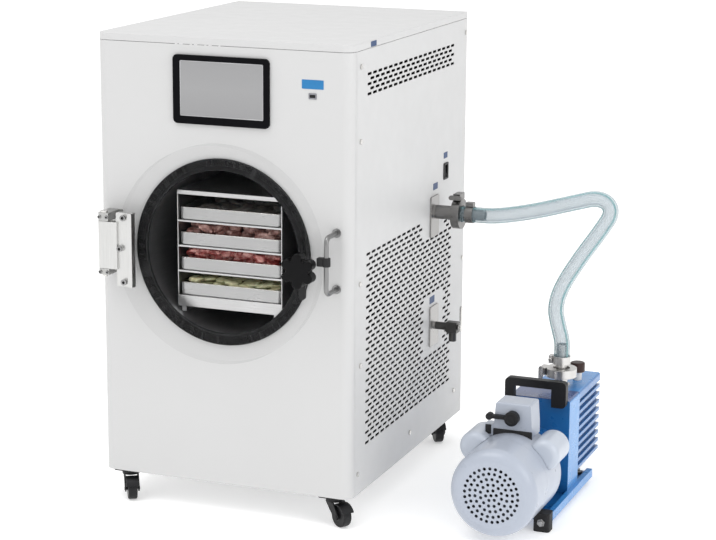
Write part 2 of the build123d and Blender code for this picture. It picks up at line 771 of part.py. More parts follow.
def bend_radii(pts, share=0.45):
    out = []
    for a, b, c in zip(pts, pts[1:], pts[2:]):
        u = Vector(b) - Vector(a)
        v = Vector(c) - Vector(b)
        turn = radians(u.get_angle(v))
        out.append(share * min(u.length, v.length) / tan(turn / 2))
    return out


HOSE_RADII = bend_radii([at(*p) for p in ROUTE])
print("hose radii", [round(r, 1) for r in HOSE_RADII])
with BuildPart() as vacuum_hose:
    with BuildLine() as hose_path:
        FilletPolyline(*[at(*p) for p in ROUTE], radius=HOSE_RADII)
    with BuildSketch(side(X_HOSE)):
        with Locations((PORT_Y, PORT_Z)):
            Circle(HOSE_OD / 2)
            Circle(HOSE_ID / 2, mode=Mode.SUBTRACT)
    sweep()
hose_len = hose_path.wire().length
print("hose length", round(hose_len, 1), "volume", round(vacuum_hose.part.volume, 1),
      "section x length", round(pi * (HOSE_OD ** 2 - HOSE_ID ** 2) / 4 * hose_len, 1))
vacuum_hose.part.label = "vacuum_hose"
export_step(vacuum_hose.part, "parts/vacuum_hose.step")

# worm-drive clamps on both hose ends
with BuildPart() as hose_clamps:
    with BuildSketch(side(X_HOSE + 3)):
        with Locations((PORT_Y, PORT_Z)):
            Circle(15.6)
            Circle(14.3, mode=Mode.SUBTRACT)
    extrude(amount=14)
    with BuildSketch(side(X_HOSE + 3)):
        with Locations((PORT_Y, PORT_Z + 18.5)):
            Rectangle(13, 7)
    extrude(amount=14)
    with BuildSketch(top(Z_HOSE + 3)):
        with Locations(INLET):
            Circle(15.6)
            Circle(14.3, mode=Mode.SUBTRACT)
    extrude(amount=14)
    with BuildSketch(top(Z_HOSE + 3)):
        with Locations((IX - 18.5, IY)):
            Rectangle(7, 13)
    extrude(amount=14)
hose_clamps.part.label = "hose_clamps"
export_step(hose_clamps.part, "parts/hose_clamps.step")

# drain valve: base plate, pipe, ball body with a down-turned spout
with BuildPart() as drain_valve:
    with BuildSketch(side(W / 2)):
        with Locations((DRAIN_Y, DRAIN_Z)):
            RectangleRounded(44, 74, 4)
    extrude(amount=3)
    with BuildSketch(side(190)):
        with Locations((DRAIN_Y, DRAIN_Z)):
            Circle(7)
    extrude(amount=72)
    with BuildSketch(side(258)):
        with Locations((DRAIN_Y, DRAIN_Z)):
            RectangleRounded(20, 20, 4)
    extrude(amount=20)
    with BuildSketch(top(DRAIN_Z - 26)):
        with Locations((268, DRAIN_Y)):
            Circle(7)
    extrude(amount=26)
    with BuildSketch(side(278)):
        with Locations((DRAIN_Y, DRAIN_Z)):
            Circle(4)
    extrude(amount=4)
    with BuildSketch(top(DRAIN_Z - 26)):
        with Locations((268, DRAIN_Y)):
            Circle(5)
    extrude(amount=14, mode=Mode.SUBTRACT)
drain_valve.part.label = "drain_valve"
export_step(drain_valve.part, "parts/drain_valve.step")

with BuildPart() as drain_lever:
    with BuildSketch(side(282.2)):
        with Locations((DRAIN_Y, DRAIN_Z)):
            Circle(7)
        with Locations((DRAIN_Y, DRAIN_Z + 20)):
            RectangleRounded(9, 40, 4)
    extrude(amount=3)
    with BuildSketch(side(280.2)):
        with Locations((DRAIN_Y, DRAIN_Z)):
            Circle(7)
            Circle(4.1, mode=Mode.SUBTRACT)
    extrude(amount=2)
drain_lever.part.label = "drain_lever"
export_step(drain_lever.part, "parts/drain_lever.step")

# ===================================================================== CASTERS
CASTERS = {"fl": (-CASTER_X, CASTER_YF), "fr": (CASTER_X, CASTER_YF), "rl": (-CASTER_X, CASTER_YR), "rr": (CASTER_X, CASTER_YR)}
with BuildPart() as caster_plates:
    for cx, cy in CASTERS.values():
        with BuildSketch(top(-2.5)):
            with Locations((cx, cy)):
                RectangleRounded(44, 44, 4)
        extrude(amount=2.5)
        with BuildSketch(top(-8)):
            with Locations((cx, cy)):
                Circle(15)
        extrude(amount=5.5)
        with BuildSketch(top(-12)):
            with Locations((cx, cy)):
                Circle(4)
        extrude(amount=4)
caster_plates.part.label = "caster_plates"
export_step(caster_plates.part, "parts/caster_plates.step")

for key, (cx, cy) in CASTERS.items():
    a = radians(CASTER_TURN[key])
    fwd = (cos(a), sin(a), 0)
    lat = (-sin(a), cos(a), 0)
    wz = WHEEL_R - CASTER_H
    # fork: crown disc, two raked legs and the riveted axle
    with BuildPart() as fork:
        with BuildSketch(top(-11)):
            with Locations((cx, cy)):
                Circle(15)
                Circle(4.1, mode=Mode.SUBTRACT)
        extrude(amount=2.7)
        for s in (-1, 1):
            leg = Plane(origin=at(cx + lat[0] * (s * 11.5 + 1.25), cy + lat[1] * (s * 11.5 + 1.25), 0), x_dir=fwd, z_dir=(-lat[0], -lat[1], 0))
            # local y points up or down with the frame's handedness; the leg is
            # drawn with points worked out from the plane itself
            up = 1 if leg.y_dir.Z > 0 else -1
            with BuildSketch(leg):
                with BuildLine():
                    Polyline((-9, up * -11), (12, up * -11), (TRAIL + 6, up * (wz + 2)), (TRAIL + 2, up * (wz - 5.5)), (TRAIL - 5, up * (wz - 4)), (-9, up * -11))
                make_face()
            extrude(amount=2.5)
        axle = Plane(origin=at(cx + fwd[0] * TRAIL + lat[0] * 13.5, cy + fwd[1] * TRAIL + lat[1] * 13.5, wz), x_dir=fwd, z_dir=(-lat[0], -lat[1], 0))
        with BuildSketch(axle):
            Circle(3)
        extrude(amount=27)
    fork.part.label = "caster_fork_" + key
    export_step(fork.part, "parts/caster_fork_%s.step" % key)

    with BuildPart() as wheel:
        hub = Plane(origin=at(cx + fwd[0] * TRAIL + lat[0] * WHEEL_W / 2, cy + fwd[1] * TRAIL + lat[1] * WHEEL_W / 2, wz), x_dir=fwd, z_dir=(-lat[0], -lat[1], 0))
        with BuildSketch(hub):
            Circle(WHEEL_R)
        extrude(amount=WHEEL_W)
        fillet(wheel.edges().filter_by(GeomType.CIRCLE), 2.5)
        with BuildSketch(hub):
            Circle(3.08)
        extrude(amount=WHEEL_W, mode=Mode.SUBTRACT)
    wheel.part.label = "caster_wheel_" + key
    export_step(wheel.part, "parts/caster_wheel_%s.step" % key)

# ================================================================ VACUUM PUMP
PB0, PB1 = 404.0, 538.0                  # base, left and right edges
XC0, XC1 = 420.0, 530.0                  # upright column
Y_SHELL0, Y_SHELL1 = 84.3, 168.0         # motor shell behind its fan cover
Y_COL0, Y_COL1, Y_TANK1 = 264.0, 327.0, 462.0
FRONT_FEET = [(415, 127), (527, 127)]
REAR_FEET = [(427, 382), (515, 382)]
with BuildPart() as pump_frame:
    with BuildSketch(front(Y_COL1)) as s:
        with Locations(((XC0 + XC1) / 2, (TANK_TOP - 41) / 2)):
            Rectangle(XC1 - XC0, TANK_TOP + 41)
        fillet(s.vertices().group_by(Axis.Z)[-1], 5)
        with Locations((PX, PZ)):
            Circle(34, mode=Mode.SUBTRACT)
    extrude(amount=Y_COL1 - Y_COL0)
    # bell that carries the motor
    with BuildSketch(front(Y_COL0)):
        with Locations((PX, PZ)):
            Circle(46)
            Circle(34, mode=Mode.SUBTRACT)
    extrude(amount=Y_COL0 - Y_SHELL1)
    # base plate with two raised rails
    with BuildSketch(top(-41)):
        with Locations((PX, 271)):
            RectangleRounded(PB1 - PB0, 262, 5)
        with Locations(*REAR_FEET):
            Circle(6.2, mode=Mode.SUBTRACT)
    extrude(amount=8)
    with BuildSketch(top(-33)):
        with Locations((PB0 + 5, 271), (PB1 - 5, 271)):
            Rectangle(10, 252)
    extrude(amount=7)
    # hollow in the base that clears the motor's shell
    with BuildSketch(front(Y_SHELL1 + 0.4)):
        with Locations((PX, PZ)):
            Circle(75.2)
            Circle(50, mode=Mode.SUBTRACT)
    extrude(amount=Y_SHELL1 + 0.4 - 130, mode=Mode.SUBTRACT)
pump_frame.part.label = "pump_frame"
export_step(pump_frame.part, "parts/pump_frame.step")

# oil tank with cooling fins on both flanks
TX0, TX1 = 441.0, 530.0
with BuildPart() as pump_oil_tank:
    with BuildSketch(front(Y_TANK1)):
        with Locations(((TX0 + TX1) / 2, (TANK_TOP - 7) / 2)):
            Rectangle(TX1 - TX0 - 12, TANK_TOP + 7)
        with Locations(*[((TX0 + TX1) / 2, -4 + 14.4 * i) for i in range(9)]):
            Rectangle(TX1 - TX0, 6)
        with Locations(((TX0 + TX1) / 2, TANK_TOP - 7)):
            Rectangle(TX1 - TX0, 14)
    extrude(amount=Y_TANK1 - Y_COL1)
    with BuildSketch(front(Y_TANK1 + 4)):
        with Locations(((TX0 + TX1) / 2 - 6, 50)):
            Circle(17)
        with Locations(((TX0 + TX1) / 2 + 22, 16)):
            Circle(8)
    extrude(amount=4)
    fillet(pump_oil_tank.faces().sort_by(Axis.Z)[-1].edges().filter_by(Axis.Y), 4)
pump_oil_tank.part.label = "pump_oil_tank"
export_step(pump_oil_tank.part, "parts/pump_oil_tank.step")

with BuildPart() as pump_inlet:
    with BuildSketch(top(TANK_TOP)):
        with Locations(INLET):
            RegularPolygon(17, 6)
    extrude(amount=5)
    with BuildSketch(top(TANK_TOP + 5)):
        with Locations(INLET):
            Circle(12.5)
    extrude(amount=Z_KF - TANK_TOP - 5)
    with BuildSketch(top(Z_KF - 4)):
        with Locations(INLET):
            Circle(20)
    extrude(amount=4)
    with BuildSketch(top(TANK_TOP)):
        with Locations(INLET):
            Circle(11)
    extrude(amount=Z_KF - TANK_TOP, mode=Mode.SUBTRACT)
pump_inlet.part.label = "pump_inlet"
export_step(pump_inlet.part, "parts/pump_inlet.step")

with BuildPart() as exhaust_cap:
    with BuildSketch(top(TANK_TOP)):
        with Locations((504, 402)):
            Circle(8)
    extrude(amount=15)
    with BuildSketch(top(TANK_TOP + 15)):
        with Locations((504, 402)):
            Circle(13)
    extrude(amount=17)
    fillet(exhaust_cap.faces().sort_by(Axis.Z)[-1].edges(), 3)
exhaust_cap.part.label = "exhaust_cap"
export_step(exhaust_cap.part, "parts/exhaust_cap.step")

# carrying handle bolted to the column's front
with BuildPart() as pump_handle:
    with BuildSketch(front(Y_COL0)) as s:
        with Locations((471.5, 147)):
            Rectangle(109, 46)
        fillet(s.vertices().group_by(Axis.Z)[-1], 8)
        with Locations((466.5, 140)):
            Rectangle(67, 32, mode=Mode.SUBTRACT)
    extrude(amount=14)
pump_handle.part.label = "pump_handle"
export_step(pump_handle.part, "parts/pump_handle.step")

# rubber feet: two posts on the base's front edge, two pads below its rear
with BuildPart() as pump_feet:
    with BuildSketch(top(-52)):
        with Locations(*FRONT_FEET):
            RectangleRounded(28, 26, 5)
    extrude(amount=32)
    with BuildSketch(front(142)):
        with Locations((PX, PZ)):
            Circle(75.2)
    extrude(amount=32, mode=Mode.SUBTRACT)
    with BuildSketch(top(-52)):
        with Locations(*REAR_FEET):
            RectangleRounded(24, 24, 4)
    extrude(amount=11)
    with BuildSketch(top(-41)):
        with Locations(*REAR_FEET):
            Circle(6)
    extrude(amount=8)
    with BuildSketch(top(-33)):
        with Locations(*REAR_FEET):
            Circle(9)
    extrude(amount=4)
pump_feet.part.label = "pump_feet"
export_step(pump_feet.part, "parts/pump_feet.step")

R_SPIGOT, R_SHELL, R_COVER = 66.0, 74.5, 74.5
with BuildPart() as motor_shell:
    with BuildSketch(front(Y_SHELL1)):
        with Locations((PX, PZ)):
            Circle(R_SHELL)
    extrude(amount=Y_SHELL1 - Y_SHELL0)
    fillet(motor_shell.faces().sort_by(Axis.Y)[-1].edges().filter_by(lambda e: e.length > 200), 5)
    with BuildSketch(front(Y_SHELL0)):
        with Locations((PX, PZ)):
            Circle(R_SPIGOT)
    extrude(amount=Y_SHELL0 - 78)
    with BuildSketch(front(Y_SHELL1 + 1)):
        with Locations((PX, PZ)):
            Circle(8.1)
    extrude(amount=100, mode=Mode.SUBTRACT)
motor_shell.part.label = "motor_shell"
export_step(motor_shell.part, "parts/motor_shell.step")

with BuildPart() as motor_fan_cover:
    with BuildSketch(side(PX)):
        with BuildLine():
            Line((12, PZ), (12, PZ + 56))
            ThreePointArc((12, PZ + 56), (18.2, PZ + 69), (34, PZ + R_COVER))
            Polyline((34, PZ + R_COVER), (84, PZ + R_COVER), (84, PZ + R_COVER - 1.5), (34, PZ + R_COVER - 1.5))
            ThreePointArc((34, PZ + R_COVER - 1.5), (19.4, PZ + 67.9), (13.5, PZ + 55.6))
            Polyline((13.5, PZ + 55.6), (13.5, PZ), (12, PZ))
        make_face()
    revolve(axis=Axis(at(PX, 0, PZ), (0, 1, 0)))
    with BuildSketch(front(15)):
        with Locations((PX, PZ)):
            for rr, nn in ((9.2, 6), (18.4, 12), (27.6, 18), (36.8, 24), (45.5, 30)):
                with PolarLocations(rr, nn, start_angle=rr):
                    Circle(2.7)
            Circle(2.7)
    extrude(amount=5, mode=Mode.SUBTRACT)
    # four lugs down to the motor's spigot
    with BuildSketch(front(84)):
        with Locations((PX, PZ)):
            with PolarLocations((R_SPIGOT + R_COVER - 0.9) / 2, 4, start_angle=0):
                Rectangle(R_COVER - R_SPIGOT - 0.9, 12)
    extrude(amount=5)
motor_fan_cover.part.label = "motor_fan_cover"
export_step(motor_fan_cover.part, "parts/motor_fan_cover.step")

with BuildPart() as motor_fan:
    with BuildSketch(front(72)):
        with Locations((PX, PZ)):
            Circle(20)
    extrude(amount=22)
    with BuildSketch(front(72)):
        with Locations((PX, PZ)):
            for k in range(8):
                with Locations(Location((0, 0, 0), (0, 0, 45 * k))):
                    with Locations((40, 0)):
                        Rectangle(48, 2)
    extrude(amount=20)
    with BuildSketch(front(311)):
        with Locations((PX, PZ)):
            Circle(8)
    extrude(amount=243)
    with BuildSketch(front(311)):
        with Locations((PX, PZ)):
            Circle(22)
    extrude(amount=36)
motor_fan.part.label = "motor_fan"
export_step(motor_fan.part, "parts/motor_fan.step")

# capacitor covers saddled on the motor's shoulders
CAPS = [(-60.0, 48.0), (60.0, 48.0)]
with BuildPart() as capacitor_covers:
    with BuildSketch(front(Y_SHELL1)):
        with Locations(*[(PX + x, PZ + z) for x, z in CAPS]):
            Circle(26.5)
    extrude(amount=Y_SHELL1 - 99)
    fillet(capacitor_covers.faces().group_by(Axis.Y)[0].edges(), 11)
    with BuildSketch(front(Y_SHELL1 + 5)):
        with Locations((PX, PZ)):
            Circle(R_SHELL + 0.3)
    extrude(amount=90, mode=Mode.SUBTRACT)
capacitor_covers.part.label = "capacitor_covers"
export_step(capacitor_covers.part, "parts/capacitor_covers.step")

with BuildPart() as terminal_box:
    with BuildSketch(front(172)):
        with BuildLine():
            Polyline((PX - 33, 98), (PX + 33, 98), (PX + 33, 122), (PX + 30, 162), (PX - 30, 162), (PX - 33, 122), (PX - 33, 98))
        make_face()
    extrude(amount=47)
    fillet(terminal_box.faces().sort_by(Axis.Z)[-1].edges(), 4)
    # cable gland on its left flank
    with BuildSketch(front(146)):
        with Locations((PX - 40, 112)):
            Rectangle(18, 20)
    extrude(amount=20)
    with BuildSketch(front(180)):
        with Locations(*[(PX + x, PZ + z) for x, z in CAPS]):
            Circle(26.9)
        with Locations((PX, PZ)):
            Circle(R_SHELL + 0.3)
    extrude(amount=70, mode=Mode.SUBTRACT)
    with BuildSketch(front(135)):
        with Locations((471, 138)):
            Circle(4.1)
    extrude(amount=12, mode=Mode.SUBTRACT)
terminal_box.part.label = "terminal_box"
export_step(terminal_box.part, "parts/terminal_box.step")

# rotary on/off knob with a pointer arm
with BuildPart() as pump_switch:
    with BuildSketch(front(124.6)):
        with Locations((471, 138)):
            Circle(12)
        with Locations((451, 138)):
            Rectangle(38, 6)
        with Locations((432, 138)):
            Circle(6)
    extrude(amount=9)
    with BuildSketch(front(134)):
        with Locations((471, 138)):
            Circle(4.0)
    extrude(amount=10)
pump_switch.part.label = "pump_switch"
export_step(pump_switch.part, "parts/pump_switch.step")
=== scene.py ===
import bpy
import bmesh
import random
from math import cos, sin, radians, pi, sqrt, atan2
from mathutils import Vector, Matrix, noise

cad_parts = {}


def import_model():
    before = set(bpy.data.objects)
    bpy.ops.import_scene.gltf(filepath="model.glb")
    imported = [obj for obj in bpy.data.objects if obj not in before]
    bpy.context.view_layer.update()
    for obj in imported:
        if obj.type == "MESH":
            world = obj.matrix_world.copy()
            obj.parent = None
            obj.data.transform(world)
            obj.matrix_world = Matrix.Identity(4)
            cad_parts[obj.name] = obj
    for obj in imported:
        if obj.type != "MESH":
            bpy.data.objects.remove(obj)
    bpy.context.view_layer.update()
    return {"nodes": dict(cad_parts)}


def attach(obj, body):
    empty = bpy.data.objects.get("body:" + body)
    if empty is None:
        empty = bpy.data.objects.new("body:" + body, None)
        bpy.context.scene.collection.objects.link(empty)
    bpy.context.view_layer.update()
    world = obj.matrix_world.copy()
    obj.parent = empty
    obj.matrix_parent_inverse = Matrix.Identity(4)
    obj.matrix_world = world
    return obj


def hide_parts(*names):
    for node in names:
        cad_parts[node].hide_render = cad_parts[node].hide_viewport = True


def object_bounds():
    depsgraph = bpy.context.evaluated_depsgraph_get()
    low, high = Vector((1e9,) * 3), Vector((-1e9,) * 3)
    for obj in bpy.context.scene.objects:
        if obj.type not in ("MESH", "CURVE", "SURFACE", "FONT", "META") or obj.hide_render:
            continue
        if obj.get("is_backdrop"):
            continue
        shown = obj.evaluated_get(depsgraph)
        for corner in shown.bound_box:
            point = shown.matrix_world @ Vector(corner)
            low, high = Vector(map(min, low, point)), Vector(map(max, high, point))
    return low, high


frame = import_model()
NODES = frame["nodes"]

# cabinet datum in the row frame, in metres: x from the centre line, y from the
# face of the front sheet backwards, z from the underside of the sheet body
XC, YF, ZB = -0.16265, -0.2555, 0.052


def P(x, y, z):
    return Vector((XC + x / 1000, YF + y / 1000, ZB + z / 1000))


# --------------------------------------------------------------------- camera
def make_camera():
    yaw, pitch, roll = radians(-21.33), radians(12.95), radians(0.37)
    fwd = Vector((sin(yaw) * cos(pitch), cos(yaw) * cos(pitch), -sin(pitch)))
    right = Vector((cos(yaw), -sin(yaw), 0))
    up = right.cross(fwd)
    r2 = right * cos(roll) + up * sin(roll)
    u2 = up * cos(roll) - right * sin(roll)
    cam = bpy.data.objects.new("camera", bpy.data.cameras.new("camera"))
    bpy.context.scene.collection.objects.link(cam)
    m = Matrix((r2, u2, -fwd)).transposed().to_4x4()
    m.translation = P(1457.9, -3116.4, 1165.2)
    cam.matrix_world = m
    cam.data.sensor_width = 36.0
    cam.data.lens = 106.37
    cam.data.clip_start, cam.data.clip_end = 0.05, 200
    bpy.context.scene.camera = cam
    return cam


make_camera()
bpy.context.scene.view_settings.view_transform = "Standard"
bpy.context.scene.view_settings.look = "None"


# ------------------------------------------------------------------ materials
def new_mat(name):
    m = bpy.data.materials.new(name)
    m.use_nodes = True
    nt = m.node_tree
    nt.nodes.clear()
    out = nt.nodes.new("ShaderNodeOutputMaterial")
    b = nt.nodes.new("ShaderNodeBsdfPrincipled")
    nt.links.new(b.outputs[0], out.inputs[0])
    return m, nt, b


def coords(nt, scale=(1, 1, 1), rot=(0, 0, 0)):
    tc = nt.nodes.new("ShaderNodeTexCoord")
    mp = nt.nodes.new("ShaderNodeMapping")
    mp.inputs["Scale"].default_value = scale
    mp.inputs["Rotation"].default_value = rot
    nt.links.new(tc.outputs["Object"], mp.inputs["Vector"])
    return mp.outputs["Vector"]


def noise_tex(nt, vec, scale, detail=3.0, rough=0.5, distort=0.0):
    n = nt.nodes.new("ShaderNodeTexNoise")
    n.inputs["Scale"].default_value = scale
    n.inputs["Detail"].default_value = detail
    n.inputs["Roughness"].default_value = rough
    n.inputs["Distortion"].default_value = distort
    nt.links.new(vec, n.inputs["Vector"])
    return n.outputs["Fac"]


def ramp(nt, fac, stops):
    r = nt.nodes.new("ShaderNodeValToRGB")
    el = r.color_ramp.elements
    while len(el) > 1:
        el.remove(el[-1])
    el[0].position = stops[0][0]
    el[0].color = (*stops[0][1], 1)
    for p, c in stops[1:]:
        e = el.new(p)
        e.color = (*c, 1)
    nt.links.new(fac, r.inputs["Fac"])
    return r.outputs["Color"]


def remap(nt, fac, lo, hi, a=0.0, b=1.0):
    r = nt.nodes.new("ShaderNodeMapRange")
    r.inputs["From Min"].default_value = a
    r.inputs["From Max"].default_value = b
    r.inputs["To Min"].default_value = lo
    r.inputs["To Max"].default_value = hi
    nt.links.new(fac, r.inputs["Value"])
    return r.outputs["Result"]


def bump(nt, bsdf, height, strength, distance, bevel=None):
    bp = nt.nodes.new("ShaderNodeBump")
    bp.inputs["Strength"].default_value = strength
    bp.inputs["Distance"].default_value = distance
    nt.links.new(height, bp.inputs["Height"])
    if bevel:
        bv = nt.nodes.new("ShaderNodeBevel")
        bv.samples = 4
        bv.inputs["Radius"].default_value = bevel
        nt.links.new(bv.outputs["Normal"], bp.inputs["Normal"])
    nt.links.new(bp.outputs["Normal"], bsdf.inputs["Normal"])


def mix_col(nt, fac, a, b):
    m = nt.nodes.new("ShaderNodeMix")
    m.data_type = "RGBA"
    nt.links.new(fac, m.inputs["Factor"])
    for sock, v in ((m.inputs[6], a), (m.inputs[7], b)):
        if isinstance(v, tuple):
            sock.default_value = (*v, 1)
        else:
            nt.links.new(v, sock)
    return m.outputs[2]


def axis_mask(nt, axis, edge, soft=0.0003):
    """0 below the plane at that height of the row frame, 1 above it."""
    tc = nt.nodes.new("ShaderNodeTexCoord")
    sep = nt.nodes.new("ShaderNodeSeparateXYZ")
    nt.links.new(tc.outputs["Object"], sep.inputs[0])
    return remap(nt, sep.outputs["XYZ".index(axis)], 0.0, 1.0, edge - soft, edge + soft)


def shade(col, k):
    return tuple(min(1.0, c * k) for c in col)


def paint(name, col, rough=0.36, peel=900, depth=0.00006, spec=0.5, coat=0.0, vary=0.03, bevel=0.0008):
    """Painted or enamelled metal: slight tone drift, orange peel, soft edges."""
    m, nt, b = new_mat(name)
    v = coords(nt)
    big = noise_tex(nt, v, 4.0, 2.0)
    b_col = ramp(nt, big, [(0.3, shade(col, 1 - vary)), (0.7, shade(col, 1 + vary * 0.6))])
    nt.links.new(b_col, b.inputs["Base Color"])
    fine = noise_tex(nt, v, peel, 2.0, 0.45)
    mid = noise_tex(nt, v, 35.0, 3.0)
    nt.links.new(remap(nt, mid, rough - 0.05, rough + 0.07, 0.3, 0.7), b.inputs["Roughness"])
    b.inputs["Specular IOR Level"].default_value = spec
    if coat:
        b.inputs["Coat Weight"].default_value = coat
        b.inputs["Coat Roughness"].default_value = 0.08
    bump(nt, b, fine, 0.5, depth, bevel)
    return m


def brushed(name, col, rough=0.3, along="X", metallic=1.0, bevel=0.0006, depth=0.00003, contrast=0.10):
    """Ground or brushed metal with its grain along one axis."""
    m, nt, b = new_mat(name)
    sc = [1400.0, 1400.0, 1400.0]
    sc["XYZ".index(along)] = 22.0
    g = noise_tex(nt, coords(nt, tuple(sc)), 1.0, 3.0, 0.6)
    v = coords(nt)
    patch = noise_tex(nt, v, 18.0, 3.0)
    c = ramp(nt, g, [(0.25, shade(col, 1 - contrast)), (0.75, shade(col, 1 + contrast))])
    nt.links.new(c, b.inputs["Base Color"])
    b.inputs["Metallic"].default_value = metallic
    add = nt.nodes.new("ShaderNodeMath")
    add.operation = "ADD"
    nt.links.new(remap(nt, g, -0.06, 0.08, 0.2, 0.8), add.inputs[0])
    nt.links.new(remap(nt, patch, rough - 0.04, rough + 0.06, 0.3, 0.7), add.inputs[1])
    nt.links.new(add.outputs[0], b.inputs["Roughness"])
    bump(nt, b, g, 0.35, depth, bevel)
    return m


def cast_metal(name, col, rough=0.38, grain=420, depth=0.00012, metallic=1.0, bevel=0.0008):
    """Turned or cast fittings: a fine even grain with duller patches."""
    m, nt, b = new_mat(name)
    v = coords(nt)
    g = noise_tex(nt, v, grain, 4.0, 0.6)
    p = noise_tex(nt, v, 70.0, 3.0)
    nt.links.new(ramp(nt, p, [(0.3, shade(col, 0.82)), (0.7, shade(col, 1.12))]), b.inputs["Base Color"])
    b.inputs["Metallic"].default_value = metallic
    nt.links.new(remap(nt, p, rough - 0.08, rough + 0.1, 0.3, 0.7), b.inputs["Roughness"])
    bump(nt, b, g, 0.4, depth, bevel)
    return m


def plastic(name, col, rough=0.4, grain=1500, depth=0.00005, coat=0.0, bevel=0.0006, spec=0.5, vary=0.15):
    m, nt, b = new_mat(name)
    v = coords(nt)
    g = noise_tex(nt, v, grain, 2.0, 0.5)
    p = noise_tex(nt, v, 30.0, 3.0)
    nt.links.new(ramp(nt, p, [(0.3, shade(col, 1 - vary)), (0.7, shade(col, 1 + vary))]), b.inputs["Base Color"])
    nt.links.new(remap(nt, p, rough - 0.05, rough + 0.08, 0.3, 0.7), b.inputs["Roughness"])
    b.inputs["Specular IOR Level"].default_value = spec
    if coat:
        b.inputs["Coat Weight"].default_value = coat
        b.inputs["Coat Roughness"].default_value = 0.04
    bump(nt, b, g, 0.4, depth, bevel)
    return m


WHITE = (0.575, 0.575, 0.575)
M = {}


def sheet_mat():
    """Powder-coated sheet, with painted shade (dark grey) on its inner faces inside the cabinet."""
    m, nt, b = new_mat("white_powder_coat_inside_shaded")
    v = coords(nt)
    big = noise_tex(nt, v, 4.0, 2.0)
    out = ramp(nt, big, [(0.3, shade(WHITE, 0.988)), (0.7, shade(WHITE, 1.007))])
    tc = nt.nodes.new("ShaderNodeTexCoord")
    sep = nt.nodes.new("ShaderNodeSeparateXYZ")
    nt.links.new(tc.outputs["Object"], sep.inputs[0])

    def within(axis, lo, hi, soft=0.0001):
        up = remap(nt, sep.outputs["XYZ".index(axis)], 0.0, 1.0, lo - soft, lo + soft)
        dn = remap(nt, sep.outputs["XYZ".index(axis)], 1.0, 0.0, hi - soft, hi + soft)
        mu = nt.nodes.new("ShaderNodeMath")
        mu.operation = "MULTIPLY"
        nt.links.new(up, mu.inputs[0])
        nt.links.new(dn, mu.inputs[1])
        return mu.outputs[0]

    def math(op, p, q):
        mu = nt.nodes.new("ShaderNodeMath")
        mu.operation = op
        nt.links.new(p, mu.inputs[0])
        nt.links.new(q, mu.inputs[1])
        return mu.outputs[0]

    # painted shade on the inner faces, within the room behind the sheets and the narrower part between the front's
    # round corners
    a, c = P(-229.3, 19.0, 1.0), P(229.3, 569.3, 758.9)
    d, e = P(-211.0, 0.7, 1.0), P(211.0, 20.0, 758.9)
    tall = within("Z", a.z, c.z)
    box = math("MULTIPLY", tall, math("MAXIMUM", math("MULTIPLY", within("X", a.x, c.x), within("Y", a.y, c.y)),
                                      math("MULTIPLY", within("X", d.x, e.x), within("Y", d.y, e.y))))
    # the inner faces in that room are painted dark grey as shade
    nt.links.new(mix_col(nt, box, out, (0.10, 0.10, 0.10)), b.inputs["Base Color"])
    nt.links.new(remap(nt, noise_tex(nt, v, 35.0, 3.0), 0.36, 0.48, 0.3, 0.7), b.inputs["Roughness"])
    b.inputs["Specular IOR Level"].default_value = 0.4
    bump(nt, b, noise_tex(nt, v, 850, 2.0, 0.45), 0.5, 0.00008, 0.0012)
    return m


M["white"] = sheet_mat()
M["steel_x"] = brushed("stainless_brushed_x", (0.62, 0.62, 0.61), 0.30, "X")
M["steel_z"] = brushed("stainless_brushed_z", (0.60, 0.60, 0.59), 0.30, "Z")
# painted shade: the trays' stainless is darker than the rack's, for the shade inside the chamber
M["steel_tray_shaded"] = brushed("stainless_tray_shaded", (0.44, 0.44, 0.44), 0.30, "X", contrast=0.07)
M["steel_rack"] = brushed("stainless_rack", (0.58, 0.58, 0.58), 0.32, "X")
M["steel_cast"] = cast_metal("stainless_fitting", (0.50, 0.48, 0.46), 0.34)


def fitting_mat():
    """Turned stainless fittings, one steel with painted light and shade by position: matt grey at the cabinet, painted
    shade (near black) low down outside the side panel, darker high up there, and a painted highlight (light grey) at
    the pump.
    """
    m, nt, b = new_mat("stainless_fitting_lit_and_shaded")
    v = coords(nt)
    n = noise_tex(nt, v, 40.0, 3.0)

    def tone(k):
        return ramp(nt, n, [(0.3, (k * 0.92, k * 0.90, k * 0.88)), (0.7, (k * 1.05, k * 1.03, k * 1.01))])

    # painted shade: near black low down outside the side panel, darker high up there
    drain = mix_col(nt, axis_mask(nt, "X", P(236.0, 0, 0).x), tone(0.40), tone(0.085))
    port = mix_col(nt, axis_mask(nt, "X", P(236.0, 0, 0).x), tone(0.34), tone(0.22))
    col = mix_col(nt, axis_mask(nt, "Z", P(0, 0, 300.0).z), drain, port)
    # painted highlight: lighter tone on the pump's fittings
    col = mix_col(nt, axis_mask(nt, "X", P(400.0, 0, 0).x), col, tone(0.62))
    nt.links.new(col, b.inputs["Base Color"])
    b.inputs["Metallic"].default_value = 1.0
    nt.links.new(remap(nt, n, 0.26, 0.38, 0.3, 0.7), b.inputs["Roughness"])
    bump(nt, b, noise_tex(nt, v, 420.0, 2.0), 0.4, 0.00008, 0.0008)
    return m


M["fitting"] = fitting_mat()
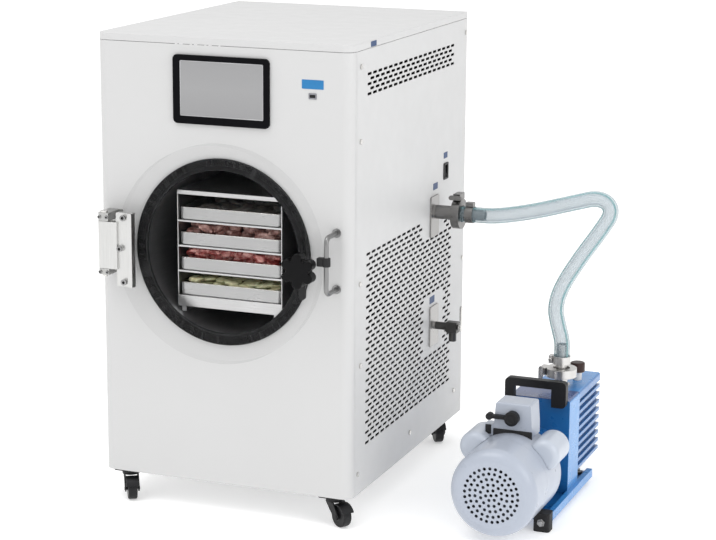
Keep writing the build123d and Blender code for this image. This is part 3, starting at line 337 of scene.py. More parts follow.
# painted shade: the hinge bracket is the strap's stainless drawn darker
M["steel_z_shaded"] = brushed("stainless_bracket_shaded", (0.45, 0.45, 0.44), 0.30, "Z")
M["steel_bright"] = cast_metal("steel_polished", (0.66, 0.65, 0.63), 0.2, 500, 0.00004)
M["chamber"] = brushed("chamber_inner_steel", (0.50, 0.50, 0.51), 0.42, "Y", contrast=0.16)
M["rubber"] = plastic("black_rubber", (0.018, 0.018, 0.019), 0.55, 700, 0.00008, vary=0.25, spec=0.22)
M["foam"] = plastic("foam_black", (0.03, 0.03, 0.032), 0.85, 260, 0.0006, vary=0.3)
M["black_gloss"] = plastic("black_gloss_panel", (0.006, 0.006, 0.007), 0.14, 1800, 0.00001, coat=0.0, vary=0.1, spec=0.02)
M["black_plastic"] = plastic("black_moulded", (0.007, 0.007, 0.008), 0.42, 1500, 0.00008, spec=0.28)
M["knob"] = plastic("black_knob", (0.003, 0.003, 0.0035), 0.38, 1300, 0.00006, spec=0.12)
M["arm_black"] = plastic("latch_arm_black", (0.010, 0.010, 0.011), 0.40, 1300, 0.00006, spec=0.3)
M["caster"] = plastic("caster_black", (0.007, 0.007, 0.008), 0.40, 900, 0.00008, spec=0.3)
# painted shade: the strike handle's stainless is drawn dark grey
M["steel_dark"] = brushed("stainless_bar_shaded", (0.24, 0.24, 0.24), 0.30, "Z")
M["copper"] = cast_metal("copper_tube", (0.72, 0.36, 0.22), 0.3, 300, 0.00005)
M["alu"] = paint("coil_black", (0.020, 0.020, 0.021), 0.5, 700, 0.00006, spec=0.2, vary=0.1)
M["comp"] = paint("compressor_black", (0.012, 0.012, 0.012), 0.32, 500, 0.0001)
M["pump_grey"] = paint("pump_light_grey", (0.46, 0.50, 0.57), 0.32, 380, 0.00022, coat=0.3, vary=0.06, bevel=0.0012)
# painted shade: the capacitor covers' grey paint, darker on the motor shell, fan cover and terminal box
M["pump_grey_shaded"] = paint("pump_grey_painted_shade", (0.375, 0.41, 0.48), 0.32, 380, 0.00022, coat=0.3, vary=0.06, bevel=0.0012)


def blue_mat():
    """Gloss enamel on the casting, with painted light and shade: painted shade (deep blue) on the front and in the
    recesses, a painted highlight (pale blue) on the outer flank and the tank's top, mid blue on the tank's outer flank,
    and painted shade (greyer blue) on the column's top.
    """
    m, nt, b = new_mat("pump_blue")
    v = coords(nt)
    big = noise_tex(nt, v, 9.0, 3.0)
    # painted light and shade, placed by the masks below: deep blue for the shaded front and recesses, pale blue for the
    # lit flank and tank top, mid blue for the tank's flank, greyer blue for the shaded column top
    deep = ramp(nt, big, [(0.3, (0.007, 0.080, 0.25)), (0.7, (0.012, 0.125, 0.35))])
    pale = ramp(nt, big, [(0.3, (0.040, 0.215, 0.53)), (0.7, (0.056, 0.265, 0.61))])
    mid = ramp(nt, big, [(0.3, (0.020, 0.130, 0.36)), (0.7, (0.030, 0.175, 0.46))])
    painted_top_shade = ramp(nt, big, [(0.3, (0.045, 0.075, 0.20)), (0.7, (0.060, 0.095, 0.24))])

    def both(p, q, op="MULTIPLY"):
        mx = nt.nodes.new("ShaderNodeMath")
        mx.operation = op
        nt.links.new(p, mx.inputs[0])
        nt.links.new(q, mx.inputs[1])
        return mx.outputs[0]

    flank = axis_mask(nt, "X", P(529.4, 0, 0).x)
    above = axis_mask(nt, "Z", P(0, 0, 134.0).z, 0.0009)
    rear = axis_mask(nt, "Y", P(0, 327.2, 0).y)
    body = axis_mask(nt, "Z", P(0, 0, -24.0).z)
    col = mix_col(nt, flank, deep, pale)
    col = mix_col(nt, both(both(flank, rear), body), col, mid)
    col = mix_col(nt, above, col, painted_top_shade)
    col = mix_col(nt, both(above, rear), col, pale)
    nt.links.new(col, b.inputs["Base Color"])
    nt.links.new(remap(nt, noise_tex(nt, v, 35.0, 3.0), 0.24, 0.36, 0.3, 0.7), b.inputs["Roughness"])
    b.inputs["Coat Weight"].default_value = 0.35
    b.inputs["Coat Roughness"].default_value = 0.08
    bump(nt, b, noise_tex(nt, v, 300.0, 2.0, 0.45), 0.5, 0.00018, 0.0012)
    return m


M["pump_blue"] = blue_mat()


def glass_mat(name, col, ior=1.49, rough=0.0):
    m, nt, b = new_mat(name)
    b.inputs["Base Color"].default_value = (*col, 1)
    b.inputs["Transmission Weight"].default_value = 1.0
    b.inputs["IOR"].default_value = ior
    v = coords(nt)
    n = noise_tex(nt, v, 14.0, 4.0, 0.6)
    nt.links.new(remap(nt, n, rough, rough + 0.02, 0.45, 0.8), b.inputs["Roughness"])
    return m




def acrylic_mat():
    """Thick clear sheet drawn as a film: its dark colour is painted shade that dims what lies behind a little, and its
    pale colour where it is seen edge on is a painted reflection that shows its edge.
    """
    m, nt, b = new_mat("clear_acrylic")
    lw = nt.nodes.new("ShaderNodeLayerWeight")
    lw.inputs["Blend"].default_value = 0.5
    pw = nt.nodes.new("ShaderNodeMath")
    pw.operation = "POWER"
    nt.links.new(lw.outputs["Facing"], pw.inputs[0])
    pw.inputs[1].default_value = 7.0
    n = noise_tex(nt, coords(nt), 14.0, 4.0, 0.6)
    # dark film colour is painted shade; pale colour at grazing angles is a painted reflection
    nt.links.new(mix_col(nt, pw.outputs[0], (0.012, 0.014, 0.015), (0.78, 0.82, 0.83)), b.inputs["Base Color"])
    nt.links.new(remap(nt, pw.outputs[0], 0.026, 0.50), b.inputs["Alpha"])
    nt.links.new(remap(nt, n, 0.02, 0.05, 0.45, 0.8), b.inputs["Roughness"])
    b.inputs["Specular IOR Level"].default_value = 0.10
    return m


M["acrylic"] = acrylic_mat()


def film_mat(name, col, a_mid, a_edge, rough=0.12, power=2.2, spec=0.5):
    """Clear flexible plastic seen as a film: denser where it is seen edge on."""
    m, nt, b = new_mat(name)
    v = coords(nt)
    n = noise_tex(nt, v, 22.0, 3.0)
    nt.links.new(ramp(nt, n, [(0.3, shade(col, 0.94)), (0.7, shade(col, 1.05))]), b.inputs["Base Color"])
    nt.links.new(remap(nt, n, rough, rough + 0.08, 0.3, 0.7), b.inputs["Roughness"])
    b.inputs["Specular IOR Level"].default_value = spec
    lw = nt.nodes.new("ShaderNodeLayerWeight")
    lw.inputs["Blend"].default_value = 0.5
    pw = nt.nodes.new("ShaderNodeMath")
    pw.operation = "POWER"
    nt.links.new(lw.outputs["Facing"], pw.inputs[0])
    pw.inputs[1].default_value = power
    nt.links.new(remap(nt, pw.outputs[0], a_mid, a_edge), b.inputs["Alpha"])
    return m


# --------------------------------------------------------------- mesh helpers
class Mesh:
    """Collects vertices and faces in row-frame metres."""

    def __init__(self):
        self.v, self.f, self.k = [], [], []

    def add(self, verts, faces, k=0):
        o = len(self.v)
        self.v += [tuple(p) for p in verts]
        self.f += [tuple(i + o for i in f) for f in faces]
        self.k += [k] * len(faces)

    def make(self, name, mats, body="root", sharp=38):
        me = bpy.data.meshes.new(name)
        me.from_pydata(self.v, [], self.f)
        me.validate()
        bm = bmesh.new()
        bm.from_mesh(me)
        bmesh.ops.recalc_face_normals(bm, faces=bm.faces)
        bm.to_mesh(me)
        bm.free()
        for m in mats if isinstance(mats, (list, tuple)) else [mats]:
            me.materials.append(m)
        for p, k in zip(me.polygons, self.k):
            p.material_index = k
        me.shade_smooth()
        me.set_sharp_from_angle(angle=radians(sharp))
        o = bpy.data.objects.new(name, me)
        bpy.context.scene.collection.objects.link(o)
        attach(o, body)
        return o


def basis(axis):
    a = Vector(axis).normalized()
    t = Vector((0, 0, 1)) if abs(a.z) < 0.9 else Vector((1, 0, 0))
    u = a.cross(t).normalized()
    return a, u, a.cross(u).normalized()


def lathe(mb, origin, axis, profile, seg=40, k=0, start=0.0, sides=None):
    """Turns profile [(r, h), ...] in mm round axis from origin (a point in metres)."""
    a, u, w = basis(axis)
    n = sides or seg
    rings, verts, faces = [], [], []
    for r, h in profile:
        c = origin + a * (h / 1000)
        if r < 1e-6:
            rings.append([len(verts)])
            verts.append(c)
        else:
            ring = []
            for i in range(n):
                t = start + 2 * pi * i / n
                ring.append(len(verts))
                verts.append(c + (u * cos(t) + w * sin(t)) * (r / 1000))
            rings.append(ring)
    for p, q in zip(rings, rings[1:]):
        if len(p) == 1 and len(q) == 1:
            continue
        for i in range(n):
            j = (i + 1) % n
            if len(p) == 1:
                faces.append((p[0], q[j], q[i]))
            elif len(q) == 1:
                faces.append((p[i], p[j], q[0]))
            else:
                faces.append((p[i], p[j], q[j], q[i]))
    mb.add(verts, faces, k)


def rbox(mb, lo, hi, r=0.5, k=0, seg=2):
    """Box between two corners (cabinet mm) with rounded edges."""
    bm = bmesh.new()
    bmesh.ops.create_cube(bm, size=1)
    c = [(a + b) / 2 for a, b in zip(lo, hi)]
    s = [abs(b - a) for a, b in zip(lo, hi)]
    for v in bm.verts:
        v.co = Vector((c[0] + v.co.x * s[0], c[1] + v.co.y * s[1], c[2] + v.co.z * s[2]))
    if r:
        bmesh.ops.bevel(bm, geom=list(bm.edges), offset=r, segments=seg, profile=0.5, affect="EDGES")
    bm.verts.index_update()
    mb.add([P(*v.co) for v in bm.verts], [tuple(v.index for v in f.verts) for f in bm.faces], k)
    bm.free()


def plate(mb, centre, size, thick, plane, r=1.5, k=0, edge=0.15, seg=5):
    """Thin plate with round corners on a face. plane 'front' lies in x,z and grows to -y, 'right' in y,z to +x, 'top' in x,y to +z, 'rear' in x,z to +y."""
    w, h = size[0] / 2, size[1] / 2
    out = []
    for cx, cy, a0 in ((w - r, h - r, 0), (-w + r, h - r, 90), (-w + r, -h + r, 180), (w - r, -h + r, 270)):
        for i in range(seg + 1):
            a = radians(a0 + 90 * i / seg)
            out.append((cx + r * cos(a), cy + r * sin(a)))

    def place(u, v, d):
        x, y, z = centre
        return {"front": (x + u, y - d, z + v), "right": (x + d, y + u, z + v), "top": (x + u, y + v, z + d), "rear": (x - u, y + d, z + v)}[plane]

    n = len(out)
    verts, faces = [], []
    for inset, d in ((0, 0), (0, thick - edge), (edge, thick)):
        for u, v in out:
            l = sqrt(u * u + v * v) or 1
            verts.append(P(*place(u - inset * u / l, v - inset * v / l, d)))
    for ring in range(2):
        for i in range(n):
            j = (i + 1) % n
            faces.append((ring * n + i, ring * n + j, (ring + 1) * n + j, (ring + 1) * n + i))
    faces.append(tuple(range(2 * n, 3 * n)))
    faces.append(tuple(reversed(range(n))))
    mb.add(verts, faces, k)


def sweep(mb, pts, radius, seg=14, k=0, closed=False, radii=None, caps=True):
    """Round bar along points in metres, with a frame carried along."""
    n = len(pts)
    tang = []
    for i in range(n):
        a = pts[(i - 1) % n] if closed or i > 0 else pts[i]
        b = pts[(i + 1) % n] if closed or i < n - 1 else pts[i]
        tang.append((b - a).normalized())
    _, u, w = basis(tang[0])
    verts, faces = [], []
    for i in range(n):
        if i:
            ax = tang[i - 1].cross(tang[i])
            if ax.length > 1e-9:
                q = Matrix.Rotation(tang[i - 1].angle(tang[i]), 3, ax.normalized())
                u, w = q @ u, q @ w
        r = (radii[i] if radii else radius) / 1000
        for j in range(seg):
            t = 2 * pi * j / seg
            verts.append(pts[i] + (u * cos(t) + w * sin(t)) * r)
    for i in range(n if closed else n - 1):
        for j in range(seg):
            a, b = i * seg + j, i * seg + (j + 1) % seg
            c, d = ((i + 1) % n) * seg + (j + 1) % seg, ((i + 1) % n) * seg + j
            faces.append((a, b, c, d))
    if not closed and caps:
        faces.append(tuple(reversed(range(seg))))
        faces.append(tuple((n - 1) * seg + j for j in range(seg)))
    mb.add(verts, faces, k)


# ----------------------------------------------------------------------- hose
ROUTE = [
    (282.5, 400, 418), (316, 400, 418), (348, 400, 418.5), (415, 401, 432), (486, 400, 453), (538, 397, 468.5), (563, 392, 447),
    (541, 389, 409), (507, 382, 359), (477, 373, 306), (470, 364, 270), (480, 356, 240), (489, 350, 217), (489, 350, 196), (489, 350, 184),
]


def route_curve(name, bevel):
    cu = bpy.data.curves.new(name, "CURVE")
    cu.dimensions = "3D"
    sp = cu.splines.new("NURBS")
    sp.points.add(len(ROUTE) - 1)
    for p, r in zip(sp.points, ROUTE):
        p.co = (*P(*r), 1.0)
    sp.order_u = 3
    sp.use_endpoint_u = True
    cu.resolution_u = 18
    cu.bevel_depth = bevel
    cu.bevel_resolution = 9
    o = bpy.data.objects.new(name, cu)
    bpy.context.scene.collection.objects.link(o)
    return o


HOSE = (0.33, 0.43, 0.47)
M["hose"] = film_mat("hose_wall", HOSE, 0.27, 0.85, 0.10, 1.7)
M["hose_in"] = film_mat("hose_bore", (0.42, 0.49, 0.55), 0.25, 0.60, 0.18, 1.6)
M["tracer"] = film_mat("hose_tracer", (0.10, 0.50, 0.50), 0.42, 0.6, 0.2, 1.5)
hose = route_curve("vacuum_hose_wall", 0.014)
hose.data.materials.append(M["hose"])
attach(hose, "root")
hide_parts("vacuum_hose")


def route_line():
    bare = route_curve("bare_route", 0.0)
    bpy.context.view_layer.update()
    me = bpy.data.meshes.new_from_object(bare.evaluated_get(bpy.context.evaluated_depsgraph_get()))
    pts = [v.co.copy() for v in me.vertices]
    bpy.data.objects.remove(bare)
    bpy.data.meshes.remove(me)
    return pts


LINE = route_line()


def carried(pts):
    """A frame carried along the points without twist."""
    out = []
    t0 = (pts[1] - pts[0]).normalized()
    u = Vector((0, -1, 0))
    u = (u - t0 * u.dot(t0)).normalized()
    for i, p in enumerate(pts):
        a, b = pts[max(i - 1, 0)], pts[min(i + 1, len(pts) - 1)]
        t = (b - a).normalized()
        ax = t0.cross(t)
        if ax.length > 1e-9:
            u = Matrix.Rotation(t0.angle(t), 3, ax.normalized()) @ u
        u = (u - t * u.dot(t)).normalized()
        out.append((p, t, u, t.cross(u)))
        t0 = t
    return out


CARRIED = carried(LINE)


def ribbon(mb, r0, r1, a_mid, half, k=0, seg=4, twist=0.0):
    """Stripe in the hose wall, between two radii, at an angle round it."""
    verts, faces = [], []
    m = seg + 1
    n = len(CARRIED)
    for i, (p, t, u, w) in enumerate(CARRIED):
        mid = a_mid + twist * i / n
        for r in (r0, r1):
            for j in range(m):
                a = mid + half * (2 * j / seg - 1)
                verts.append(p + (u * cos(a) + w * sin(a)) * (r / 1000))
    row = 2 * m
    for i in range(n - 1):
        o, q = i * row, (i + 1) * row
        for j in range(seg):
            faces.append((o + j, o + j + 1, q + j + 1, q + j))
            faces.append((o + m + j, q + m + j, q + m + j + 1, o + m + j + 1))
        faces.append((o, q, q + m, o + m))
        faces.append((o + seg, o + m + seg, q + m + seg, q + seg))
    faces.append(tuple([j for j in range(m)] + [m + seg - j for j in range(m)]))
    o = (n - 1) * row
    faces.append(tuple([o + m + seg - j for j in range(m)][::-1] + [o + j for j in range(m)][::-1]))
    mb.add(verts, faces, k)


mb = Mesh()
sweep(mb, LINE, 10.0, seg=32, caps=False)
hose_bore = mb.make("vacuum_hose_bore", M["hose_in"], sharp=60)
mb = Mesh()
ribbon(mb, 12.2, 13.2, radians(78), radians(13))
ribbon(mb, 12.2, 13.2, radians(-70), radians(8))
hose_tracer = mb.make("vacuum_hose_tracer", M["tracer"], sharp=60)

# ------------------------------------------------------------- CAD node looks
def exhaust_mat():
    """Dark moulded cap on a pale threaded stem."""
    m, nt, b = new_mat("exhaust_cap")
    k = axis_mask(nt, "Z", P(0, 0, 150.2).z)
    n = noise_tex(nt, coords(nt), 60.0, 3.0)
    cap = ramp(nt, n, [(0.3, (0.020, 0.006, 0.005)), (0.7, (0.032, 0.010, 0.008))])
    nt.links.new(mix_col(nt, k, (0.72, 0.70, 0.68), cap), b.inputs["Base Color"])
    b.inputs["Roughness"].default_value = 0.38
    b.inputs["Specular IOR Level"].default_value = 0.35
    bump(nt, b, noise_tex(nt, coords(nt), 900.0, 2.0), 0.4, 0.00008, 0.0006)
    return m


M["exhaust"] = exhaust_mat()
LOOKS = {
    "white": "base_pan front_panel left_side_panel right_side_panel rear_panel top_cover",
    "steel_z": "hinge_strap",
    "steel_z_shaded": "hinge_bracket",
    "steel_dark": "strike_handle",
    "arm_black": "latch_cam",
    "steel_bright": "panel_screws hinge_pin drain_lever pump_inlet",
    "fitting": "vacuum_port hose_nipples kf_clamps hose_clamps drain_valve",
    "exhaust": "exhaust_cap",
    "chamber": "chamber_shell",
    "steel_rack": "shelf_rack",
    "steel_tray_shaded": "tray_1 tray_2 tray_3 tray_4",
    "rubber": "door_seal pump_feet",
    "foam": "insulation_jacket",
    "copper": "refrigerant_tubing",
    "acrylic": "door_disc",
    "knob": "door_knob",
    "black_gloss": "touch_panel switch_rocker",
    "black_plastic": "switch_housing power_inlet motor_fan pump_handle pump_switch",
    "comp": "compressor fan_housing",
    "alu": "condenser fan_blades",
    "caster": "caster_plates caster_fork_fl caster_fork_fr caster_fork_rl caster_fork_rr caster_wheel_fl caster_wheel_fr caster_wheel_rl caster_wheel_rr",
    "pump_blue": "pump_frame pump_oil_tank",
    "pump_grey": "capacitor_covers",
    "pump_grey_shaded": "motor_shell motor_fan_cover terminal_box",
}
for key, names in LOOKS.items():
    for n in names.split():
        o = NODES[n]
        o.data.materials.clear()
        o.data.materials.append(M[key])


# ------------------------------------------------------------------- floor
def soft_floor():
    m, nt, b = new_mat("studio_floor")
    v = coords(nt)
    n = noise_tex(nt, v, 1.2, 2.0)
    nt.links.new(ramp(nt, n, [(0.2, (0.86, 0.86, 0.86)), (0.8, (0.88, 0.88, 0.88))]), b.inputs["Base Color"])
    b.inputs["Emission Color"].default_value = (1, 1, 1, 1)
    b.inputs["Emission Strength"].default_value = 0.34
    b.inputs["Roughness"].default_value = 0.7
    b.inputs["Specular IOR Level"].default_value = 0.2
    me = bpy.data.meshes.new("studio_floor")
    s = 30.0
    me.from_pydata([(-s, -s, 0), (s, -s, 0), (s, s, 0), (-s, s, 0)], [], [(0, 1, 2, 3)])
    me.materials.append(m)
    o = bpy.data.objects.new("studio_floor", me)
    bpy.context.scene.collection.objects.link(o)
    o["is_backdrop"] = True


soft_floor()


def world():
    w = bpy.data.worlds.new("studio_world")
    bpy.context.scene.world = w
    w.use_nodes = True
    nt = w.node_tree
    nt.nodes.clear()
    out = nt.nodes.new("ShaderNodeOutputWorld")
    bg = nt.nodes.new("ShaderNodeBackground")
    tc = nt.nodes.new("ShaderNodeTexCoord")
    sep = nt.nodes.new("ShaderNodeSeparateXYZ")
    nt.links.new(tc.outputs["Generated"], sep.inputs[0])
    c = ramp(nt, remap(nt, sep.outputs[2], 0, 1, -1, 1), [(0.45, (0.76, 0.76, 0.76)), (0.60, (0.84, 0.84, 0.84)), (0.85, (1.0, 1.0, 1.0))])
    nt.links.new(c, bg.inputs["Color"])
    bg.inputs["Strength"].default_value = 1.0
    nt.links.new(bg.outputs[0], out.inputs[0])


world()


def area(name, loc, target, size, energy, col=(1, 1, 1)):
    d = bpy.data.lights.new(name, "AREA")
    d.shape = "SQUARE"
    d.size = size
    d.energy = energy
    d.color = col
    o = bpy.data.objects.new(name, d)
    bpy.context.scene.collection.objects.link(o)
    o.location = loc
    o.rotation_mode = "QUATERNION"
    o.rotation_quaternion = (Vector(target) - Vector(loc)).to_track_quat("-Z", "Y")
    return o


area("key_soft", (-1.0, -1.3, 3.7), (0, 0, 0.45), 2.4, 46)
area("fill_right", (2.6, -1.2, 1.5), (0.25, 0.05, 0.25), 1.8, 20)

# =============================================================== DETAIL PIECES
# ------------------------------------------------------------- touch panel
def screen_mat():
    m, nt, b = new_mat("screen_glass")
    tc = nt.nodes.new("ShaderNodeTexCoord")
    sep = nt.nodes.new("ShaderNodeSeparateXYZ")
    nt.links.new(tc.outputs["Object"], sep.inputs[0])
    lo, hi = P(0, 0, 630).z, P(0, 0, 722).z
    g = remap(nt, sep.outputs[2], 0, 1, lo, hi)
    # painted sheen: the screen's grey is lighter across its middle height
    c = ramp(nt, g, [(0.0, (0.275, 0.275, 0.28)), (0.5, (0.305, 0.305, 0.31)), (1.0, (0.28, 0.28, 0.285))])
    n = noise_tex(nt, coords(nt), 9.0, 2.0)
    nt.links.new(mix_col(nt, remap(nt, n, 0.0, 0.25, 0.3, 0.7), c, (0.29, 0.29, 0.295)), b.inputs["Base Color"])
    b.inputs["Roughness"].default_value = 0.22
    b.inputs["Specular IOR Level"].default_value = 0.5
    fine = noise_tex(nt, coords(nt), 2500.0, 1.0)
    bump(nt, b, fine, 0.2, 0.00001)
    return m


M["screen"] = screen_mat()
M["screen_rim"] = plastic("screen_rim_grey", (0.42, 0.42, 0.43), 0.35, 1800, 0.00002)
mb = Mesh()
plate(mb, (1.2, -4.05, 676), (147.6, 89.6), 0.55, "front", r=1.2, edge=0.2)
mb.make("screen_glass", M["screen"])
mb = Mesh()
for lo, hi in (((-73.6, -4.85, 630.2), (-72.2, -4.05, 721.8)), ((74.6, -4.85, 630.2), (76.0, -4.05, 721.8)),
               ((-73.6, -4.85, 630.2), (76.0, -4.05, 631.6)), ((-73.6, -4.85, 720.4), (76.0, -4.05, 721.8))):
    rbox(mb, lo, hi, 0.25, seg=2)
mb.make("screen_rim", M["screen_rim"])

# ------------------------------------------------------- blank label plates
M["label_blue"] = plastic("label_blue", (0.026, 0.185, 0.42), 0.36, 1200, 0.00003, vary=0.05, bevel=None, spec=0.25)
M["label_navy"] = plastic("label_navy", (0.010, 0.045, 0.14), 0.36, 1200, 0.00003, vary=0.05, bevel=None, spec=0.25)
M["label_grey"] = plastic("socket_grey", (0.22, 0.22, 0.24), 0.4, 1200, 0.00004, vary=0.1)
mb = Mesh()
plate(mb, (161, 0, 694), (38, 15), 0.4, "front", r=1.2)
mb.make("front_label_plate", M["label_blue"])
mb = Mesh()
for c, s in (((230, 460, 511), (20, 11)), ((230, 407, 463), (24, 12)), ((230, 397, 256), (26, 13)), ((230, 92, 753.4), (25, 9.0))):
    plate(mb, c, s, 0.4, "right", r=1.2)
mb.make("side_label_plates", M["label_navy"])
mb = Mesh()
plate(mb, (161, 0, 675), (14, 10), 1.0, "front", r=1.5)
mb.make("data_socket_frame", M["label_grey"])
mb = Mesh()
plate(mb, (161, -1.0, 675), (10, 5), 0.15, "front", r=0.8, edge=0.05)
mb.make("data_socket_mouth", M["black_plastic"])


# ------------------------------------------------------------------ hinge
def socket_bolt(mb, origin, axis, r, h, k_head=0, k_hole=1, rim=0.6):
    """Socket-head screw: rounded head with a six-sided socket and a flat floor."""
    s = r * 0.52
    lathe(mb, origin, axis, [(r, 0), (r, h - rim), (r - rim * 0.35, h - rim * 0.3), (r - rim, h), (s * 1.12, h)], 36, k_head)
    a, u, w = basis(axis)
    hexa = []
    for i in range(36):
        t = 2 * pi * i / 36
        ap = s * cos(pi / 6) / cos((t % (pi / 3)) - pi / 6)
        hexa.append((u * cos(t) + w * sin(t)) * (ap / 1000))
    outer = [(u * cos(2 * pi * i / 36) + w * sin(2 * pi * i / 36)) * (s * 1.12 / 1000) for i in range(36)]
    top = [origin + a * (h / 1000) + p for p in outer]
    lip = [origin + a * ((h - 0.25) / 1000) + p for p in hexa]
    deep = [origin + a * (max(h - r * 0.7, 0.2) / 1000) + p for p in hexa]
    v = top + lip + deep
    f = []
    for i in range(36):
        j = (i + 1) % 36
        f.append((i, j, 36 + j, 36 + i))
    mb.add(v[:72], f, k_head)
    f = [(i, (i + 1) % 36, 36 + (i + 1) % 36, 36 + i) for i in range(36)] + [tuple(36 + i for i in range(36))]
    mb.add(lip + deep, f, k_hole)


M["bolt"] = cast_metal("bolt_steel", (0.34, 0.34, 0.34), 0.32, 600, 0.00004)
# painted shade: the screws' socket walls and floor are near black
M["bolt_hole"] = plastic("bolt_socket_painted_shade", (0.02, 0.02, 0.02), 0.5, 900, 0.00003)
mb = Mesh()
for x, z in ((-164, 457), (-164, 347), (-171, 404)):
    socket_bolt(mb, P(x, -41.0, z), (0, -1, 0), 5.2, 3.4)
mb.make("hinge_strap_bolts", [M["bolt"], M["bolt_hole"]], body="door")
mb = Mesh()
for x, z in ((-208, 455.8), (-194.5, 455.8), (-208, 361.5), (-194.5, 361.5)):
    socket_bolt(mb, P(x, -42.0, z), (0, -1, 0), 3.1, 2.2)
mb.make("hinge_knuckle_screws", [M["bolt"], M["bolt_hole"]], body="root")

# ---------------------------------------------------------- strike sleeve
mb = Mesh()
prof = [(4.3, 407.2), (6.4, 407.4), (7.0, 408.4)]
for i in range(5):
    z = 409.4 + i * 2.2
    prof += [(7.0, z), (6.75, z + 0.4), (6.75, z + 1.0), (7.0, z + 1.5)]
prof += [(7.0, 420.6), (6.4, 421.6), (4.3, 421.8)]
lathe(mb, P(203.7, -45, 0), (0, 0, 1), prof, 36)
rbox(mb, (188.4, -50.8, 407.4), (199.5, -39.4, 421.6), 1.6, seg=3)
mb.make("strike_sleeve", M["rubber"])

# ------------------------------------------------------------- tray hems
def round_rect(x0, x1, y0, y1, z, r, seg=6):
    out = []
    for cx, cy, a0 in ((x1 - r, y1 - r, 0), (x0 + r, y1 - r, 90), (x0 + r, y0 + r, 180), (x1 - r, y0 + r, 270)):
        for i in range(seg + 1):
            a = radians(a0 + 90 * i / seg)
            out.append(P(cx + r * cos(a), cy + r * sin(a), z))
    return out


TRAY_Z = [448.0, 404.7, 361.3, 318.0]
mb = Mesh()
for z in TRAY_Z:
    sweep(mb, round_rect(-92.6, 92.6, 27.4, 334.6, z + 21.6, 7.6), 0.85, seg=10, closed=True)
mb.make("tray_hems", M["steel_bright"])


# ------------------------------------------------------------------- food
def food_mat(name, dark, mid, light, rough=0.34, scale=70, sss=0.12, light_at=0.66):
    m, nt, b = new_mat(name)
    v = coords(nt)
    n = noise_tex(nt, v, scale, 5.0, 0.62, 0.9)
    n2 = noise_tex(nt, v, 22.0, 2.0)
    c = ramp(nt, n, [(0.30, dark), (0.48, mid), (light_at, light), (0.8, light)])
    nt.links.new(mix_col(nt, remap(nt, n2, 0.0, 0.55, 0.4, 0.65), c, mid), b.inputs["Base Color"])
    nt.links.new(remap(nt, n, rough, rough + 0.25, 0.3, 0.7), b.inputs["Roughness"])
    b.inputs["Subsurface Weight"].default_value = sss
    b.inputs["Subsurface Scale"].default_value = 0.004
    b.inputs["Subsurface Radius"].default_value = (1.0, 0.35, 0.25)
    bump(nt, b, noise_tex(nt, v, 420.0, 4.0, 0.6), 0.6, 0.0006)
    return m


M["meat_pink"] = food_mat("meat_pinkish", (0.06, 0.022, 0.018), (0.20, 0.085, 0.070), (0.74, 0.50, 0.45), light_at=0.66)
M["meat_red"] = food_mat("meat_red", (0.07, 0.008, 0.008), (0.26, 0.040, 0.036), (0.82, 0.46, 0.41), light_at=0.64)
M["veg"] = food_mat("slices_olive", (0.26, 0.24, 0.11), (0.50, 0.48, 0.28), (0.78, 0.76, 0.52))
# painted shade: the top tray's slices are dark grey, standing in for the shade in that tray
M["dark_food"] = food_mat("slices_grey_painted_shade", (0.12, 0.11, 0.105), (0.24, 0.22, 0.21), (0.40, 0.37, 0.34))

_ico = bmesh.new()
bmesh.ops.create_icosphere(_ico, subdivisions=3, radius=1.0)
_ico.verts.index_update()
ICO_V = [v.co.copy() for v in _ico.verts]
ICO_F = [tuple(v.index for v in f.verts) for f in _ico.faces]
_ico.free()


def chunk(mb, c, size, rng, rough=0.30, square=0.0, floor=None, ceil=None):
    """One irregular lump, centre and half sizes in cabinet mm."""
    seed = Vector((rng.random() * 50, rng.random() * 50, rng.random() * 50))
    rot = Matrix.Rotation(rng.random() * 2 * pi, 3, "Z") @ Matrix.Rotation(rng.uniform(-0.35, 0.35), 3, "X")
    verts = []
    for d in ICO_V:
        n = noise.noise(d * 1.3 + seed) * rough * 1.4 + noise.noise(d * 3.4 + seed) * rough * 0.5
        if square:
            m = max(abs(d.x), abs(d.y), abs(d.z))
            k = (1 - square) + square / m
        else:
            k = 1.0
        q = d * (k * (1 + n))
        q = rot @ Vector((q.x * size[0], q.y * size[1], q.z * size[2]))
        z = c[2] + q.z
        if floor is not None:
            z = max(z, floor + 0.25 * abs(noise.noise(d * 6 + seed)))
        if ceil is not None:
            z = min(z, ceil)
        verts.append(P(min(max(c[0] + q.x, -86.5), 86.5), min(max(c[1] + q.y, 30.5), 331.5), z))
    mb.add(verts, ICO_F)


def fill_tray(name, z, mat, seed, cols, rows, size, layers, square=0.0, rough=0.3, top=26.0, reps=()):
    rng = random.Random(seed)
    mb = Mesh()
    for l in range(layers):
        for r in range(rows):
            for c in range(cols):
                if l and rng.random() < 0.22 and r > 1:
                    continue
                x = -86 + (c + 0.5) * 172 / cols + rng.uniform(-0.28, 0.28) * 172 / cols
                y = 32 + (r + 0.5) * 298 / rows + rng.uniform(-0.25, 0.25) * 298 / rows
                s = [size[i] * rng.uniform(0.78, 1.2) for i in range(3)]
                x = min(max(x, -86 + s[0] * 0.8), 86 - s[0] * 0.8)
                y = min(max(y, 31 + s[1] * 0.8), 331 - s[1] * 0.8)
                zz = z + 1 + s[2] * 0.9 + l * size[2] * 1.35 + rng.uniform(-0.5, 1.0)
                chunk(mb, (x, y, zz), s, rng, rough, square, floor=z + 1.1, ceil=z + 1 + top + rng.uniform(-0.8, 0.0))
    o = mb.make(name, mat, sharp=70)
    return o


